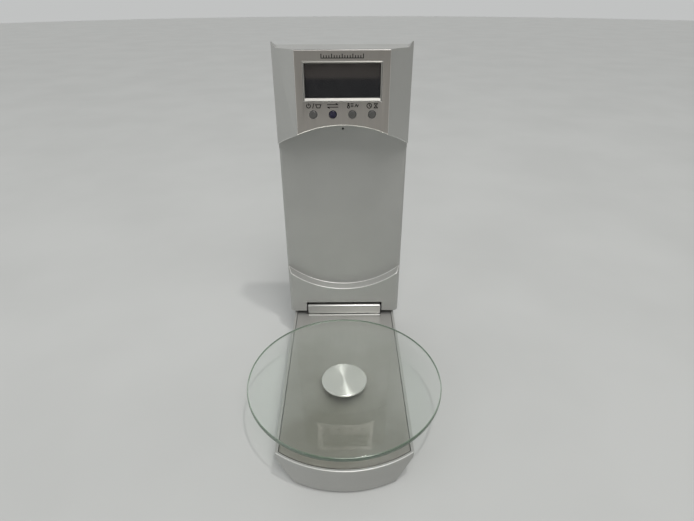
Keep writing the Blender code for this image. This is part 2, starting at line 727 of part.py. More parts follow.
def make_deck_frame():
    """The plastic deck that closes the tray, with posts that take the base's screws."""
    side, inset = BASE_HALF_WIDTH - BASE_WALL - GAP, BASE_WALL + GAP
    outline = base_outline(side, inset, PANEL_DEPTH - BASE_WALL - GAP)
    plastic = make_material("deck plastic", (0.18, 0.18, 0.18), 0.5)
    deck = prism("deck_frame", outline, DECK_SEAT + GAP, -1.2, "Z", plastic)
    for number, place in enumerate(BASE_SCREWS):
        weld_on(deck, rod(f"deck_post_{number}", -12.1, -2, 3.4, place, "Z"))
        hole = rod(f"deck_hole_{number}", -13, -4, SCREW_CLEARANCE, place, "Z", TINY_SIDES)
        cut(deck, hole)
    for side in (-1, 1):
        near, far = ordered(side, 23.6, 33.4)
        cut(deck, box(f"leg_notch_{side}", (near, -3.4, -5), (far, 5.0, 2)))
    cut(
        deck,
        rod("deck_hub_hole", -6, 2, HUB_HOLE_RADIUS, (0, PLATTER_BACK), "Z", ROUND_SIDES),
        box("barrel_clearance", (-20, -4.6, -0.9), (20, 8, 2)),
        box("loop_cut", (LEAD_ACROSS - 3, -1, -5), (LEAD_ACROSS + 3, 12.5, 2)),
        box("lead_pass", (-LEAD_ACROSS - 2, -1, -5), (2 - LEAD_ACROSS, 2.6, 2)),
    )


def make_deck_plate():
    """A thin brushed plate on the deck, from the apron to the hinge."""
    side, inset = BASE_HALF_WIDTH - BASE_WALL - 2 * GAP, BASE_WALL + 2 * GAP
    outline = base_outline(side, inset, -1.6)
    brushed = make_material("deck steel", (0.27, 0.27, 0.255), 0.38, 0.9)
    plate = prism("deck_plate", outline, -0.9, -0.1, "Z", brushed)
    end = BARREL_HALF_LENGTH + 0.5
    cut(
        plate,
        rod("plate_hub_hole", -6, 2, HUB_HOLE_RADIUS, (0, PLATTER_BACK), "Z", ROUND_SIDES),
        box("plate_notch", (-end, -4.6, -3), (end, 5, 3)),
    )


def make_feet():
    low = -DECK_HEIGHT
    profile = [(low, 4.6), (low + 0.4, 5.3), (low + 0.8, 5.5), (low + 2.7, 5.5)]
    for number, place in enumerate(FEET, 1):
        lathe(f"foot_{number}", profile, place, "Z", rubber(f"foot rubber {number}"), SMALL_SIDES)


def make_base_screws():
    neck = BASE_FLOOR + 1.1
    for number, place in enumerate(BASE_SCREWS, 1):
        make_screw(f"base_screw_{number}", "Z", place, -4.5, neck, neck - 1, 1.5, 2.8)
    for number, back in enumerate(CELL_SCREWS, 1):
        make_screw(f"load_cell_screw_{number}", "Z", (0, back), -10, neck, neck - 1, 1.5, 2.4)


def make_load_cell():
    """An aluminium bending beam: its back end is fixed to the base and its front end carries the platter."""
    half, past = 6.0, 8.0
    metal = aluminium("cell aluminium")
    cell = box("load_cell", (-half, CELL_FRONT, CELL_LOW), (half, CELL_REAR, CELL_HIGH), metal)
    middle_up, reach = (CELL_LOW + CELL_HIGH) / 2, 6.5
    for number, shift in enumerate((-reach, reach)):
        eye_centre = (PLATTER_BACK + shift, middle_up)
        cut(cell, rod(f"cell_eye_{number}", -past, past, 3.4, eye_centre, "X"))
    slot_low = (-past, PLATTER_BACK - reach, middle_up - 1)
    slot_high = (past, PLATTER_BACK + reach, middle_up + 1)
    cut(cell, box("cell_slot", slot_low, slot_high))
    for number, back in enumerate((*CELL_SCREWS, *BRACKET_SCREWS)):
        hole = rod(f"cell_screw_hole_{number}", -20, -5, SCREW_CLEARANCE, (0, back), "Z", TINY_SIDES)
        cut(cell, hole)


# ---------------------------------------------------------------- platter


def make_platter_bracket():
    """A plate on the beam's free end, with its two screws sunk in."""
    low, high = -6.0, -4.4
    sink, head = low + 0.3, 2.8
    bracket = box("platter_bracket", (-7, CELL_FRONT, low), (7, -88, high), aluminium("bracket metal"))
    weld_on(bracket, box("bracket_pad", (-6, CELL_FRONT, CELL_HIGH + 0.7), (6, -119, low + 1)))
    hole = [
        (low - 3, SCREW_CLEARANCE), (sink, SCREW_CLEARANCE), (sink + STEP_EDGE, head), (high + 1, head),
    ]
    for number, back in enumerate(BRACKET_SCREWS, 1):
        cut(bracket, lathe(f"bracket_hole_{number}", hole, (0, back), "Z", sides=SMALL_SIDES))
        make_screw(f"bracket_screw_{number}", "Z", (0, back), -14, -5.3, -4.5, 1.4, 2.4)


def make_platter():
    """The hub through the deck, the spun disc on it and the glass on top."""
    centre = (0, PLATTER_BACK)
    glass_low = GLASS_TOP - GLASS_THICKNESS
    disc_low, disc_high = 5.2, glass_low - GAP
    neck, flange = 8.5, 13.2
    hub = [(-4.1, neck), (1.2, neck), (1.8, flange - 0.6), (3.2, flange), (disc_low - GAP, flange)]
    lathe("platter_hub", hub, centre, "Z", black_plastic("hub plastic"))
    edge = 0.3
    disc = [
        (disc_low, DISC_RADIUS - edge), (disc_low + edge, DISC_RADIUS),
        (disc_high - edge, DISC_RADIUS), (disc_high, DISC_RADIUS - edge),
    ]
    spun = make_material("disc aluminium", (0.8, 0.8, 0.79), 0.28, 1.0)
    lathe("platter_disc", disc, centre, "Z", spun, DISC_SIDES)
    arris = 0.6
    glass = [
        (glass_low, GLASS_RADIUS - arris), (glass_low + arris, GLASS_RADIUS),
        (GLASS_TOP - arris, GLASS_RADIUS), (GLASS_TOP, GLASS_RADIUS - arris),
    ]
    clear = make_material("glass", (0.85, 0.95, 0.88), 0.02, alpha=0.3)
    lathe("glass_plate", glass, centre, "Z", clear, FINE_SIDES)


# ---------------------------------------------------------------- assembly


def make_panel():
    make_panel_housing()
    make_fascia()
    make_display()
    make_electronics()
    make_rear_cover()
    make_battery_door()
    make_batteries()
    make_cover_screws()
    make_hinge_brackets()
    make_stop_pads()


def make_base():
    make_hinge_barrel()
    make_base_housing()
    make_deck_frame()
    make_deck_plate()
    make_feet()
    make_base_screws()
    make_load_cell()


def group(name, pivot, make):
    """Makes some pieces and parents them to an empty, which turns or slides about the pivot."""
    before = set(bpy.data.objects)
    make()
    pieces = [obj for obj in bpy.data.objects if obj not in before and not obj.parent]
    empty = bpy.data.objects.new(name, None)
    empty.location = to_world(pivot)
    bpy.context.scene.collection.objects.link(empty)
    for piece in pieces:
        hang_on(piece, empty)


def make_moving_platter():
    make_platter_bracket()
    make_platter()


def main():
    clear_scene()
    group("base_pivot", (0, 0, 0), make_base)
    group("panel_pivot", (0, *HINGE_CENTRE), make_panel)
    group("platter_pivot", (0, PLATTER_BACK, GLASS_TOP), make_moving_platter)
    make_leads()


main()
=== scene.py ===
"""The looks of a fold-down kitchen scale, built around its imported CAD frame.

Lengths are in metres, and MM turns millimetres into them. Every place comes from the frame: from the
boxes of its nodes, or from the working point below, on the panel's lip at the height of the deck.
"""

import json
import math

import bmesh
import bpy
from mathutils import Matrix, Vector

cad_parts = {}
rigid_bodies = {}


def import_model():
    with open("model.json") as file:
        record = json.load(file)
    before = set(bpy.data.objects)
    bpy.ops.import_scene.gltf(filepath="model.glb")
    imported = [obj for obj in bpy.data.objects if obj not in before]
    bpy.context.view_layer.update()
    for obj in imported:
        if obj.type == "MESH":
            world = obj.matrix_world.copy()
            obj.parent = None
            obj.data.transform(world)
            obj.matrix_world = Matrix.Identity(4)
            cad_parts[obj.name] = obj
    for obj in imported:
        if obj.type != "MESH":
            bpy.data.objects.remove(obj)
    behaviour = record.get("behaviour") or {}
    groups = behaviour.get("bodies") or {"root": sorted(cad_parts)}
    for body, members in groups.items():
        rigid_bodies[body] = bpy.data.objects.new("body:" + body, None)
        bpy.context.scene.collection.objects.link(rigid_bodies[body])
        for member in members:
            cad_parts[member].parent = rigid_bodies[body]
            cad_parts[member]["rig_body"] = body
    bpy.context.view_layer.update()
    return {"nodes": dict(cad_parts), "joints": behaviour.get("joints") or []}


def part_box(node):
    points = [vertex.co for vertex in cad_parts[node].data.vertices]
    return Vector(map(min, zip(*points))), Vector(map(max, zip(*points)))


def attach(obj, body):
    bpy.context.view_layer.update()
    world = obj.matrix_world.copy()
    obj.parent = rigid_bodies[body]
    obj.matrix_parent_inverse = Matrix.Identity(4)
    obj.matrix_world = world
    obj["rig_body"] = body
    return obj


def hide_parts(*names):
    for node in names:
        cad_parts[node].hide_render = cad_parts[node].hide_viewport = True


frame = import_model()

MM = 0.001


# ---------------------------------------------------------------- places from the frame


def low(node):
    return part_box(node)[0]


def high(node):
    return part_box(node)[1]


def centre(node):
    return (low(node) + high(node)) / 2


PANEL_DEPTH = 25.6 * MM
DECK_TOP = high("base_housing").z
LIP_FRONT = high("rear_cover").y - PANEL_DEPTH
FASCIA_FRONT = low("display_fascia").y
HINGE = Vector(next(j["pos_m"] for j in frame["joints"] if j["name"] == "panel_fold"))
BUTTONS = ("tare_button", "unit_button", "temperature_button", "clock_button")


def at(across, back, up):
    """A point from millimetres across, back from the lip's front and up from the deck."""
    return Vector((across * MM, LIP_FRONT + back * MM, DECK_TOP + up * MM))


# ---------------------------------------------------------------- node trees


def new_node(tree, kind, inputs=None, **settings):
    """A shader node. An input's value is a number, a colour or another node's output."""
    node = tree.nodes.new("ShaderNode" + kind)
    for key, value in settings.items():
        setattr(node, key, value)
    for key, value in (inputs or {}).items():
        if isinstance(value, bpy.types.NodeSocket):
            tree.links.new(value, node.inputs[key])
        else:
            node.inputs[key].default_value = value
    return node


class Finish:
    """One material and the usual steps of building it, on the piece's own coordinates in metres.

    Its keyword arguments are values of the shader's inputs, such as base_color and roughness.
    """

    def __init__(self, name, **values):
        self.material = bpy.data.materials.new(name)
        self.material.use_nodes = True
        self.tree = self.material.node_tree
        self.shader = self.tree.nodes["Principled BSDF"]
        self.place = new_node(self.tree, "TexCoord").outputs["Object"]
        for key, value in values.items():
            socket = key.replace("_", " ").title().replace("Ior", "IOR")
            self.shader.inputs[socket].default_value = value

    def node(self, kind, inputs=None, **settings):
        return new_node(self.tree, kind, inputs, **settings)

    def stretched(self, scale):
        """The piece's coordinates, scaled differently along each axis."""
        return self.node("Mapping", {"Vector": self.place, "Scale": scale}).outputs[0]

    def noise(self, scale, detail=2.0, roughness=0.5, place=None):
        return self.node(
            "TexNoise",
            {
                "Vector": place or self.place,
                "Scale": scale,
                "Detail": detail,
                "Roughness": roughness,
            },
        ).outputs["Fac"]

    def ranged(self, value, low_out, high_out, low_in=0.35, high_in=0.65):
        """A value's range turned into another. Most of a noise's values are between 0.35 and 0.65."""
        return self.node(
            "MapRange",
            {0: value, 1: low_in, 2: high_in, 3: low_out, 4: high_out},
        ).outputs[0]

    def mixed(self, factor, first, second):
        """A colour between two, each of which is three numbers or an output."""
        inputs = {0: factor}
        for key, value in ((6, first), (7, second)):
            inputs[key] = value if isinstance(value, bpy.types.NodeSocket) else (*value, 1.0)
        return self.node("Mix", inputs, data_type="RGBA").outputs[2]

    def maths(self, operation, first, second=0.0):
        return self.node("Math", {0: first, 1: second}, operation=operation).outputs[0]

    def distance(self, middle, scale=(1.0, 1.0, 0.0)):
        """The distance from a point, with each axis scaled. A scale of 0 leaves an axis out."""
        shift = self.node("Mapping", {"Vector": self.place, "Location": tuple(-middle)}).outputs[0]
        scaled = self.node("VectorMath", {0: shift, 1: scale}, operation="MULTIPLY").outputs[0]
        return self.node("VectorMath", {0: scaled}, operation="LENGTH").outputs["Value"]

    def set(self, name, value):
        self.tree.links.new(value, self.shader.inputs[name])

    def coloured(self, noise, first, second):
        """A base colour that wanders between two colours."""
        self.set("Base Color", self.mixed(self.ranged(noise, 0.0, 1.0), first, second))

    def bump(self, height, depth):
        """Relief from a height of 0 to 1 that stands for a depth in metres."""
        node = self.node("Bump", {"Height": height, "Distance": depth, "Strength": 1.0})
        self.set("Normal", node.outputs[0])


def shade(colour, by):
    return tuple(min(1.0, c * by) for c in colour)


# ---------------------------------------------------------------- materials


def silver_paint(name, colour=(0.44, 0.442, 0.424), roughness=0.4, metallic=0.35):
    """Metallic paint on moulded plastic: fine flakes, a faint orange peel and uneven gloss."""
    paint = Finish(name, metallic=metallic)
    flakes = paint.noise(7000.0, 1.0)
    clouds = paint.noise(28.0, 3.0)
    speckled = paint.mixed(paint.ranged(flakes, 0.0, 1.0), shade(colour, 0.9), shade(colour, 1.1))
    paint.set("Base Color", paint.mixed(paint.ranged(clouds, 0.0, 0.25), speckled, shade(colour, 0.86)))
    paint.set("Roughness", paint.ranged(clouds, roughness - 0.03, roughness + 0.04))
    paint.bump(paint.noise(1600.0, 2.0), 0.012 * MM)
    return paint.material


def highlight_silver(name, colour=(0.72, 0.72, 0.7)):
    """A brighter, glossier copy of the paint for rounded edges: a painted highlight."""
    return silver_paint(name, colour, 0.3, 0.9)


def brushed_metal(name, colour, along, roughness):
    """Metal with fine brushing along one axis (0, 1 or 2)."""
    metal = Finish(name, metallic=0.9)
    fine, coarse = [2600.0] * 3, [500.0] * 3
    fine[along], coarse[along] = 18.0, 6.0
    lines = metal.noise(1.0, 3.0, 0.7, metal.stretched(fine))
    bands = metal.noise(1.0, 2.0, 0.6, metal.stretched(coarse))
    darker, lighter = shade(colour, 0.95), shade(colour, 1.05)
    brushed = metal.mixed(metal.ranged(lines, 0.0, 1.0), darker, lighter)
    metal.set("Base Color", metal.mixed(metal.ranged(bands, 0.0, 0.35), brushed, darker))
    metal.set("Roughness", metal.ranged(lines, roughness - 0.05, roughness + 0.08))
    metal.bump(lines, 0.002 * MM)
    return metal.material


def deck_metal(name, colour):
    """Satin metal, faintly brushed, with a painted shadow of the glass plate that makes its front darker
    and warmer.
    """
    metal = Finish(name, metallic=0.65)
    lines = metal.noise(1.0, 3.0, 0.7, metal.stretched((2600.0, 18.0, 2600.0)))
    brushed = metal.mixed(metal.ranged(lines, 0.0, 1.0), shade(colour, 0.97), shade(colour, 1.03))
    # A painted shadow of the glass plate: the deck's front is darker and warmer.
    shadow_centre = centre("deck_plate") + Vector((-8 * MM, -75 * MM, 0.0))
    away = metal.distance(shadow_centre, (14.0, 13.0, 0.0))
    uneven = metal.maths("ADD", away, metal.ranged(metal.noise(30.0, 4.0), -0.25, 0.25))
    painted_shadow = metal.ranged(uneven, 0.9, 0.0, 0.3, 1.6)
    shadowed_colour = (colour[0] * 0.64, colour[1] * 0.63, colour[2] * 0.57)
    metal.set("Base Color", metal.mixed(painted_shadow, brushed, shadowed_colour))
    metal.set("Roughness", metal.ranged(metal.noise(40.0, 3.0), 0.34, 0.42))
    metal.bump(lines, 0.002 * MM)
    return metal.material


def spun_aluminium(name):
    """Turned aluminium, whose fine rings stretch a highlight along the disc's radius."""
    metal = Finish(name, metallic=0.62, anisotropic=1.0, anisotropic_rotation=0.25, roughness=0.26)
    place = metal.maths("MULTIPLY", metal.distance(centre("platter_disc")), 5200.0)
    inputs = {"W": place, "Scale": 1.0, "Detail": 2.0}
    rings = metal.node("TexNoise", inputs, noise_dimensions="1D").outputs["Fac"]
    tangent = metal.node("Tangent", direction_type="RADIAL", axis="Z").outputs[0]
    metal.set("Tangent", tangent)
    metal.coloured(rings, (0.76, 0.75, 0.73), (0.9, 0.89, 0.87))
    metal.bump(rings, 0.008 * MM)
    return metal.material


def plain_steel(name, colour=(0.6, 0.59, 0.57), roughness=0.28):
    """Bare or blackened steel, a little uneven."""
    steel = Finish(name, metallic=1.0)
    clouds = steel.noise(420.0, 4.0)
    steel.coloured(clouds, shade(colour, 0.85), colour)
    steel.set("Roughness", steel.ranged(clouds, roughness, roughness + 0.14))
    steel.bump(steel.noise(2400.0, 3.0), 0.008 * MM)
    return steel.material


def moulded_plastic(name, colour, roughness=0.45, grain=1800.0, depth=0.02 * MM):
    """Plastic with a fine moulded grain."""
    plastic = Finish(name)
    clouds = plastic.noise(60.0, 3.0)
    grains = plastic.noise(grain, 3.0, 0.6)
    plastic.coloured(clouds, shade(colour, 0.88), shade(colour, 1.08))
    plastic.set("Roughness", plastic.ranged(grains, roughness - 0.06, roughness + 0.08))
    plastic.bump(grains, depth)
    return plastic.material


def rubber(name, colour=(0.035, 0.035, 0.036)):
    return moulded_plastic(name, colour, 0.78, 2600.0, 0.03 * MM)


def clear_glass(name):
    """Float glass, faintly green by the length of glass that is looked through.

    Shadow rays and diffuse rays pass straight through it, so that its shadow is as pale as real glass's.
    """
    pale = (0.985, 0.992, 0.985, 1.0)
    glass = Finish(name, base_color=pale, transmission_weight=1.0, roughness=0.0, ior=1.5)
    path = glass.node("LightPath").outputs
    clear = glass.node("BsdfTransparent", {"Color": (0.95, 0.965, 0.955, 1.0)}).outputs[0]
    surface = glass.shader.outputs[0]
    for ray in ("Is Diffuse Ray", "Is Shadow Ray"):
        surface = glass.node("MixShader", {0: path[ray], 1: surface, 2: clear}).outputs[0]
    output = glass.tree.nodes["Material Output"]
    glass.tree.links.new(surface, output.inputs["Surface"])
    tint = glass.node("VolumeAbsorption", {"Color": (0.45, 0.76, 0.52, 1.0), "Density": 11.0})
    glass.tree.links.new(tint.outputs[0], output.inputs["Volume"])
    return glass.material


def ground_rim(name):
    """The glass's ground edge, which is looked into along the plate and so is deep green."""
    rim = Finish(name, roughness=0.18, transmission_weight=0.72, coat_weight=0.5, ior=1.5)
    rim.coloured(rim.noise(900.0, 3.0), (0.32, 0.45, 0.34), (0.42, 0.54, 0.42))
    rim.bump(rim.noise(2600.0), 0.006 * MM)
    return rim.material


def lcd_dark(name):
    """An unlit liquid crystal display: nearly black, with a painted brown reflection above its middle.
    """
    lcd = Finish(name, roughness=0.3, specular_ior_level=0.25)
    cell_low, cell_high = low("lcd_cell").z, high("lcd_cell").z
    up = lcd.node("SeparateXYZ", {0: lcd.place}).outputs["Z"]
    # Above this middle the colour turns to a lighter brown: a painted reflection.
    middle = cell_low + 0.56 * (cell_high - cell_low)
    edge = lcd.ranged(up, 0.0, 1.0, middle - 1.5 * MM, middle + 1.5 * MM)
    haze = lcd.ranged(lcd.noise(90.0, 3.0), 0.0, 0.35)
    lower = lcd.mixed(haze, (0.018, 0.018, 0.02), (0.03, 0.03, 0.034))
    lcd.set("Base Color", lcd.mixed(edge, lower, (0.078, 0.067, 0.062)))
    lcd.bump(lcd.noise(2200.0), 0.002 * MM)
    return lcd.material


def window_plastic(name):
    """A thin smoked cover that doesn't bend what is behind it."""
    window = Finish(name, base_color=(0.03, 0.03, 0.032, 1.0), roughness=0.08, alpha=0.1)
    window.bump(window.noise(300.0, 2.0), 0.001 * MM)
    return window.material


def printed_ink(name):
    """Matt black print."""
    ink = Finish(name, roughness=0.7, specular_ior_level=0.2)
    ink.coloured(ink.noise(3500.0, 2.0), (0.012, 0.011, 0.01), (0.03, 0.028, 0.026))
    return ink.material


def circuit_board(name):
    """Green solder resist with copper tracks under it."""
    board = Finish(name, roughness=0.35)
    tracks = board.node(
        "TexBrick",
        {
            "Vector": board.stretched((320.0, 320.0, 320.0)),
            "Color1": (0.02, 0.1, 0.045, 1.0),
            "Color2": (0.016, 0.085, 0.04, 1.0),
            "Mortar": (0.05, 0.2, 0.08, 1.0),
            "Mortar Size": 0.03,
            "Scale": 1.0,
        },
    )
    board.set("Base Color", tracks.outputs["Color"])
    board.bump(tracks.outputs["Fac"], 0.03 * MM)
    return board.material


def battery_sleeve(name, node):
    """A plain two-tone sleeve, with bare metal at both ends."""
    sleeve = Finish(name, metallic=0.4)
    across = sleeve.node("SeparateXYZ", {0: sleeve.place}).outputs["X"]
    way = 1.0 if node == "battery_1" else -1.0
    along = sleeve.maths("MULTIPLY", sleeve.maths("SUBTRACT", across, centre(node).x), way)
    band = sleeve.ranged(along, 0.0, 1.0, 8.0 * MM, 8.3 * MM)
    ends = sleeve.ranged(sleeve.maths("ABSOLUTE", along), 0.0, 1.0, 20.9 * MM, 21.0 * MM)
    two_tone = sleeve.mixed(band, (0.035, 0.04, 0.05), (0.5, 0.33, 0.16))
    sleeve.set("Base Color", sleeve.mixed(ends, two_tone, (0.6, 0.59, 0.57)))
    sleeve.set("Roughness", sleeve.ranged(sleeve.noise(500.0), 0.25, 0.38))
    return sleeve.material


# ---------------------------------------------------------------- mesh helpers


def body_of(node):
    return frame["nodes"][node]["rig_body"]


def new_object(name, bm):
    """An object from a bmesh, which is used up."""
    mesh = bpy.data.meshes.new(name)
    bm.to_mesh(mesh)
    bm.free()
    made = bpy.data.objects.new(name, mesh)
    bpy.context.scene.collection.objects.link(made)
    return made


def smooth(piece, sharp_from):
    """Smooth shading, except across edges that turn by more than an angle in degrees."""
    piece.data.shade_smooth()
    piece.data.set_sharp_from_angle(angle=math.radians(sharp_from))


def show(bm, name, materials, body, nodes=(), sharp_from=30.0):
    """A piece from a bmesh in the frame's coordinates. It rides on its body and stands for its nodes."""
    piece = new_object(name, bm)
    smooth(piece, sharp_from)
    for material in materials:
        piece.data.materials.append(material)
    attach(piece, body)
    if nodes:
        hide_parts(*nodes)
    return piece


def show_node(bm, node, *materials, sharp_from=30.0):
    """The piece that stands for one CAD node."""
    return show(bm, node + ".shown", materials, body_of(node), [node], sharp_from)


WELD = 2e-6  # metres: vertices closer than this are one
SLIVER = 1e-6  # metres: narrower faces are removed
TOUCH = 1e-5  # metres: a corner this close to an edge or a plane lies on it
FOLD_ANGLE = 178.0  # degrees by which a folded face turns back
FLAT_ANGLE = 0.6  # degrees: faces that turn by less are joined
LEAST_BEVEL_ANGLE = 24.0  # degrees: an edge that turns by less isn't rounded


def turns_by(edge, angle):
    """Whether an edge joins two faces that turn by more than an angle in degrees."""
    return len(edge.link_faces) == 2 and edge.calc_face_angle() > math.radians(angle)


def mend_folds(bm):
    """Rebuilds a flat face whose triangles are folded over where corners lie on its edge."""
    bm.normal_update()
    folds = [e for e in bm.edges if turns_by(e, FOLD_ANGLE)]
    if not folds:
        return
    place, normal = folds[0].verts[0].co.copy(), folds[0].link_faces[0].normal.copy()
    flat = [f for f in bm.faces if all(abs((v.co - place).dot(normal)) < TOUCH for v in f.verts)]
    bmesh.ops.delete(bm, geom=flat, context="FACES")
    rim = [e for e in bm.edges if e.is_boundary]
    corners = [v for v in bm.verts if v.is_boundary]
    for edge in rim:
        start, end = edge.verts
        along = end.co - start.co
        for corner in corners:
            share = (corner.co - start.co).dot(along) / along.length_squared
            if 0.001 < share < 0.999 and (corner.co - start.co - share * along).length < TOUCH:
                middle = bmesh.utils.edge_split(edge, start, share)[1]
                bmesh.ops.weld_verts(bm, targetmap={middle: corner})
                break
    bmesh.ops.contextual_create(bm, geom=[e for e in bm.edges if e.is_boundary])
    bmesh.ops.recalc_face_normals(bm, faces=bm.faces)


def clean_copy(node):
    """A bmesh of a CAD node with its seams welded, its slivers removed and its flat faces joined."""
    bm = bmesh.new()
    bm.from_mesh(frame["nodes"][node].data)
    bmesh.ops.remove_doubles(bm, verts=bm.verts, dist=WELD)
    bmesh.ops.dissolve_degenerate(bm, edges=bm.edges, dist=SLIVER)
    mend_folds(bm)
    flat = math.radians(FLAT_ANGLE)
    bmesh.ops.dissolve_limit(bm, angle_limit=flat, verts=bm.verts, edges=bm.edges)
    for face in bm.faces:
        face.material_index = 0
    return bm


def middle_and_along(edge):
    """An edge's middle and its direction."""
    start, end = (vertex.co for vertex in edge.verts)
    return (start + end) / 2, (start - end).normalized()


def rounded(node, width, material, edge_material=None, rule=None, segments=3):
    """A CAD node with its edges rounded. rule gives an edge's share of the full width."""
    bm = clean_copy(node)
    weights = bm.edges.layers.float.new("bevel_weight_edge")
    for edge in bm.edges:
        if turns_by(edge, LEAST_BEVEL_ANGLE):
            edge[weights] = rule(edge) if rule else 1.0
    piece = show_node(bm, node, material, edge_material or material)
    bevel = piece.modifiers.new("rounded edges", "BEVEL")
    bevel.limit_method = "WEIGHT"
    bevel.width = width
    bevel.segments = segments
    bevel.miter_outer = "MITER_ARC"
    bevel.harden_normals = True
    # The rounded faces take the second material, which on painted parts is a brighter copy of the paint:
    # a painted highlight.
    bevel.material = 1


def filleted(profile, radius, steps=4):
    """A profile of (along, radius) with its inner corners rounded."""
    points = [Vector(point) for point in profile]
    result = [points[0]]
    for before, corner, after in zip(points, points[1:], points[2:]):
        reach = min(radius, (before - corner).length / 2.1, (after - corner).length / 2.1)
        start = corner + (before - corner).normalized() * reach
        end = corner + (after - corner).normalized() * reach
        for i in range(steps + 1):
            t = i / steps
            result.append(start * (1 - t) ** 2 + corner * 2 * t * (1 - t) + end * t**2)
    return [*result, points[-1]]


def join_rings(bm, rings):
    """Faces between each ring of vertices and the next."""
    for first, second in zip(rings, rings[1:]):
        for i in range(len(first)):
            j = (i + 1) % len(first)
            bm.faces.new((first[i], first[j], second[j], second[i]))


def turned(profile, middle, axis, sides):
    """A bmesh turned about an axis (0, 1 or 2) through middle. Its profile is of (along, radius)."""
    bm = bmesh.new()
    others = [i for i in range(3) if i != axis]
    rings = []
    for along, radius in profile:
        ring = []
        for i in range(sides):
            angle = 2 * math.pi * i / sides
            point = Vector(middle)
            point[axis] = along
            point[others[0]] += radius * math.cos(angle)
            point[others[1]] += radius * math.sin(angle)
            ring.append(bm.verts.new(point))
        rings.append(ring)
    join_rings(bm, rings)
    bm.faces.new(rings[0])
    bm.faces.new(rings[-1])
    bmesh.ops.recalc_face_normals(bm, faces=bm.faces)
    return bm


def turned_piece(node, profile, axis, material, fillet, sides):
    """A CAD node turned anew from a profile, with its inner corners rounded."""
    return show_node(turned(filleted(profile, fillet), centre(node), axis, sides), node, material)


def bead(bm, path, radius, closed=False, sides=16):
    """A round bead along a path. Sunk halfway into an edge, it is the edge's bright rounding."""
    count = len(path)
    rings = []
    for i, point in enumerate(path):
        before = path[i - 1] if closed or i > 0 else point
        after = path[(i + 1) % count] if closed or i < count - 1 else point
        along = (after - before).normalized()
        up = Vector((0, 0, 1)) if abs(along.z) < 0.9 else Vector((0, 1, 0))
        side = along.cross(up).normalized()
        up = side.cross(along)
        ring = []
        for k in range(sides):
            turn = 2 * math.pi * k / sides
            ring.append(bm.verts.new(point + radius * (side * math.cos(turn) + up * math.sin(turn))))
        rings.append(ring)
    if closed:
        rings.append(rings[0])
    else:
        bm.faces.new(rings[0])
        bm.faces.new(rings[-1])
    join_rings(bm, rings)
    bmesh.ops.recalc_face_normals(bm, faces=bm.faces)


def add_box(bm, lowest, highest):
    """A box in an existing bmesh."""
    size = Vector(highest) - Vector(lowest)
    middle = (Vector(highest) + Vector(lowest)) / 2
    matrix = Matrix.Translation(middle) @ Matrix.Diagonal((*size, 1.0))
    bmesh.ops.create_cube(bm, size=1.0, matrix=matrix)


def combine(piece, bm, operation="DIFFERENCE"):
    """Cuts a bmesh out of a piece, or joins it on."""
    helper = new_object(piece.name + ".tool", bm)
    modifier = piece.modifiers.new("boolean", "BOOLEAN")
    modifier.operation = operation
    modifier.object = helper
    bpy.context.view_layer.update()
    evaluated = piece.evaluated_get(bpy.context.evaluated_depsgraph_get())
    mesh = bpy.data.meshes.new_from_object(evaluated)
    piece.modifiers.remove(modifier)
    old = piece.data
    piece.data = mesh
    bpy.data.meshes.remove(old)
    bpy.data.objects.remove(helper)


# ---------------------------------------------------------------- panel


PANEL_ROUNDING = 2.2 * MM
HEAD_WALL_BACK = LIP_FRONT - 5.9 * MM  # the inner face of the head's front wall
SHELL_INSIDE = LIP_FRONT + 11 * MM  # what lies further back is inside the shell
SHELL_INNER_HALF = 51 * MM
OUTER_HALF = 45 * MM  # edges further out are on the panel's sides
LEDGE_LOW, LEDGE_HIGH = DECK_TOP + 24 * MM, DECK_TOP + 52 * MM


def panel_edge_share(edge):
    """How round an edge of the front shell is, as a share of PANEL_ROUNDING."""
    middle, along = middle_and_along(edge)
    on_ledge = LEDGE_LOW < middle.z < LEDGE_HIGH and abs(along.y) < 0.8
    if all(abs(v.co.y - HEAD_WALL_BACK) < 0.05 * MM for v in edge.verts):
        return 0.0  # a rounding here would run into the buttons' holes
    if middle.y > SHELL_INSIDE and abs(middle.x) < SHELL_INNER_HALF:
        return 0.08
    if on_ledge and abs(along.z) < 0.9:
        return 0.2
    if abs(along.z) > 0.9 and abs(middle.x) > OUTER_HALF:
        return 0.8
    return 0.3


# The ledge and the head, in at()'s millimetres.
LEDGE_CENTRE_UP, LEDGE_RADIUS = 106.0, 78.0
LEDGE_BACK_HALF, LEDGE_BACK = 51.7, 9.85
LEDGE_FRONT_HALF, LEDGE_FRONT = 48.9, 0.3
ARCH_CENTRE_UP, ARCH_RADIUS = 96.1, 86.5
HEAD_FRONT, HEAD_EDGE_BACK = -8.0, 5.0
FASCIA_HALF, PANEL_HALF = 35.0, 52.6


def ledge_point(across, back):
    """A point on the ledge's top, which curves down to its middle."""
    return at(across, back, LEDGE_CENTRE_UP - math.sqrt(LEDGE_RADIUS**2 - across**2))


def make_ledge_bead(edge):
    """The bright line around the ledge's top, in a lighter copy of the paint: a painted highlight."""
    steps = [i / 24 for i in range(25)]
    back_row = [ledge_point(LEDGE_BACK_HALF * (2 * t - 1), LEDGE_BACK) for t in steps]
    front_row = [ledge_point(LEDGE_FRONT_HALF * (1 - 2 * t), LEDGE_FRONT) for t in steps]
    sunk = Vector((0, 0, 0.15 * MM))
    bm = bmesh.new()
    bead(bm, [point - sunk for point in (*back_row, *front_row)], 0.42 * MM, closed=True)
    show(bm, "ledge_bead", [edge], "panel", sharp_from=60)


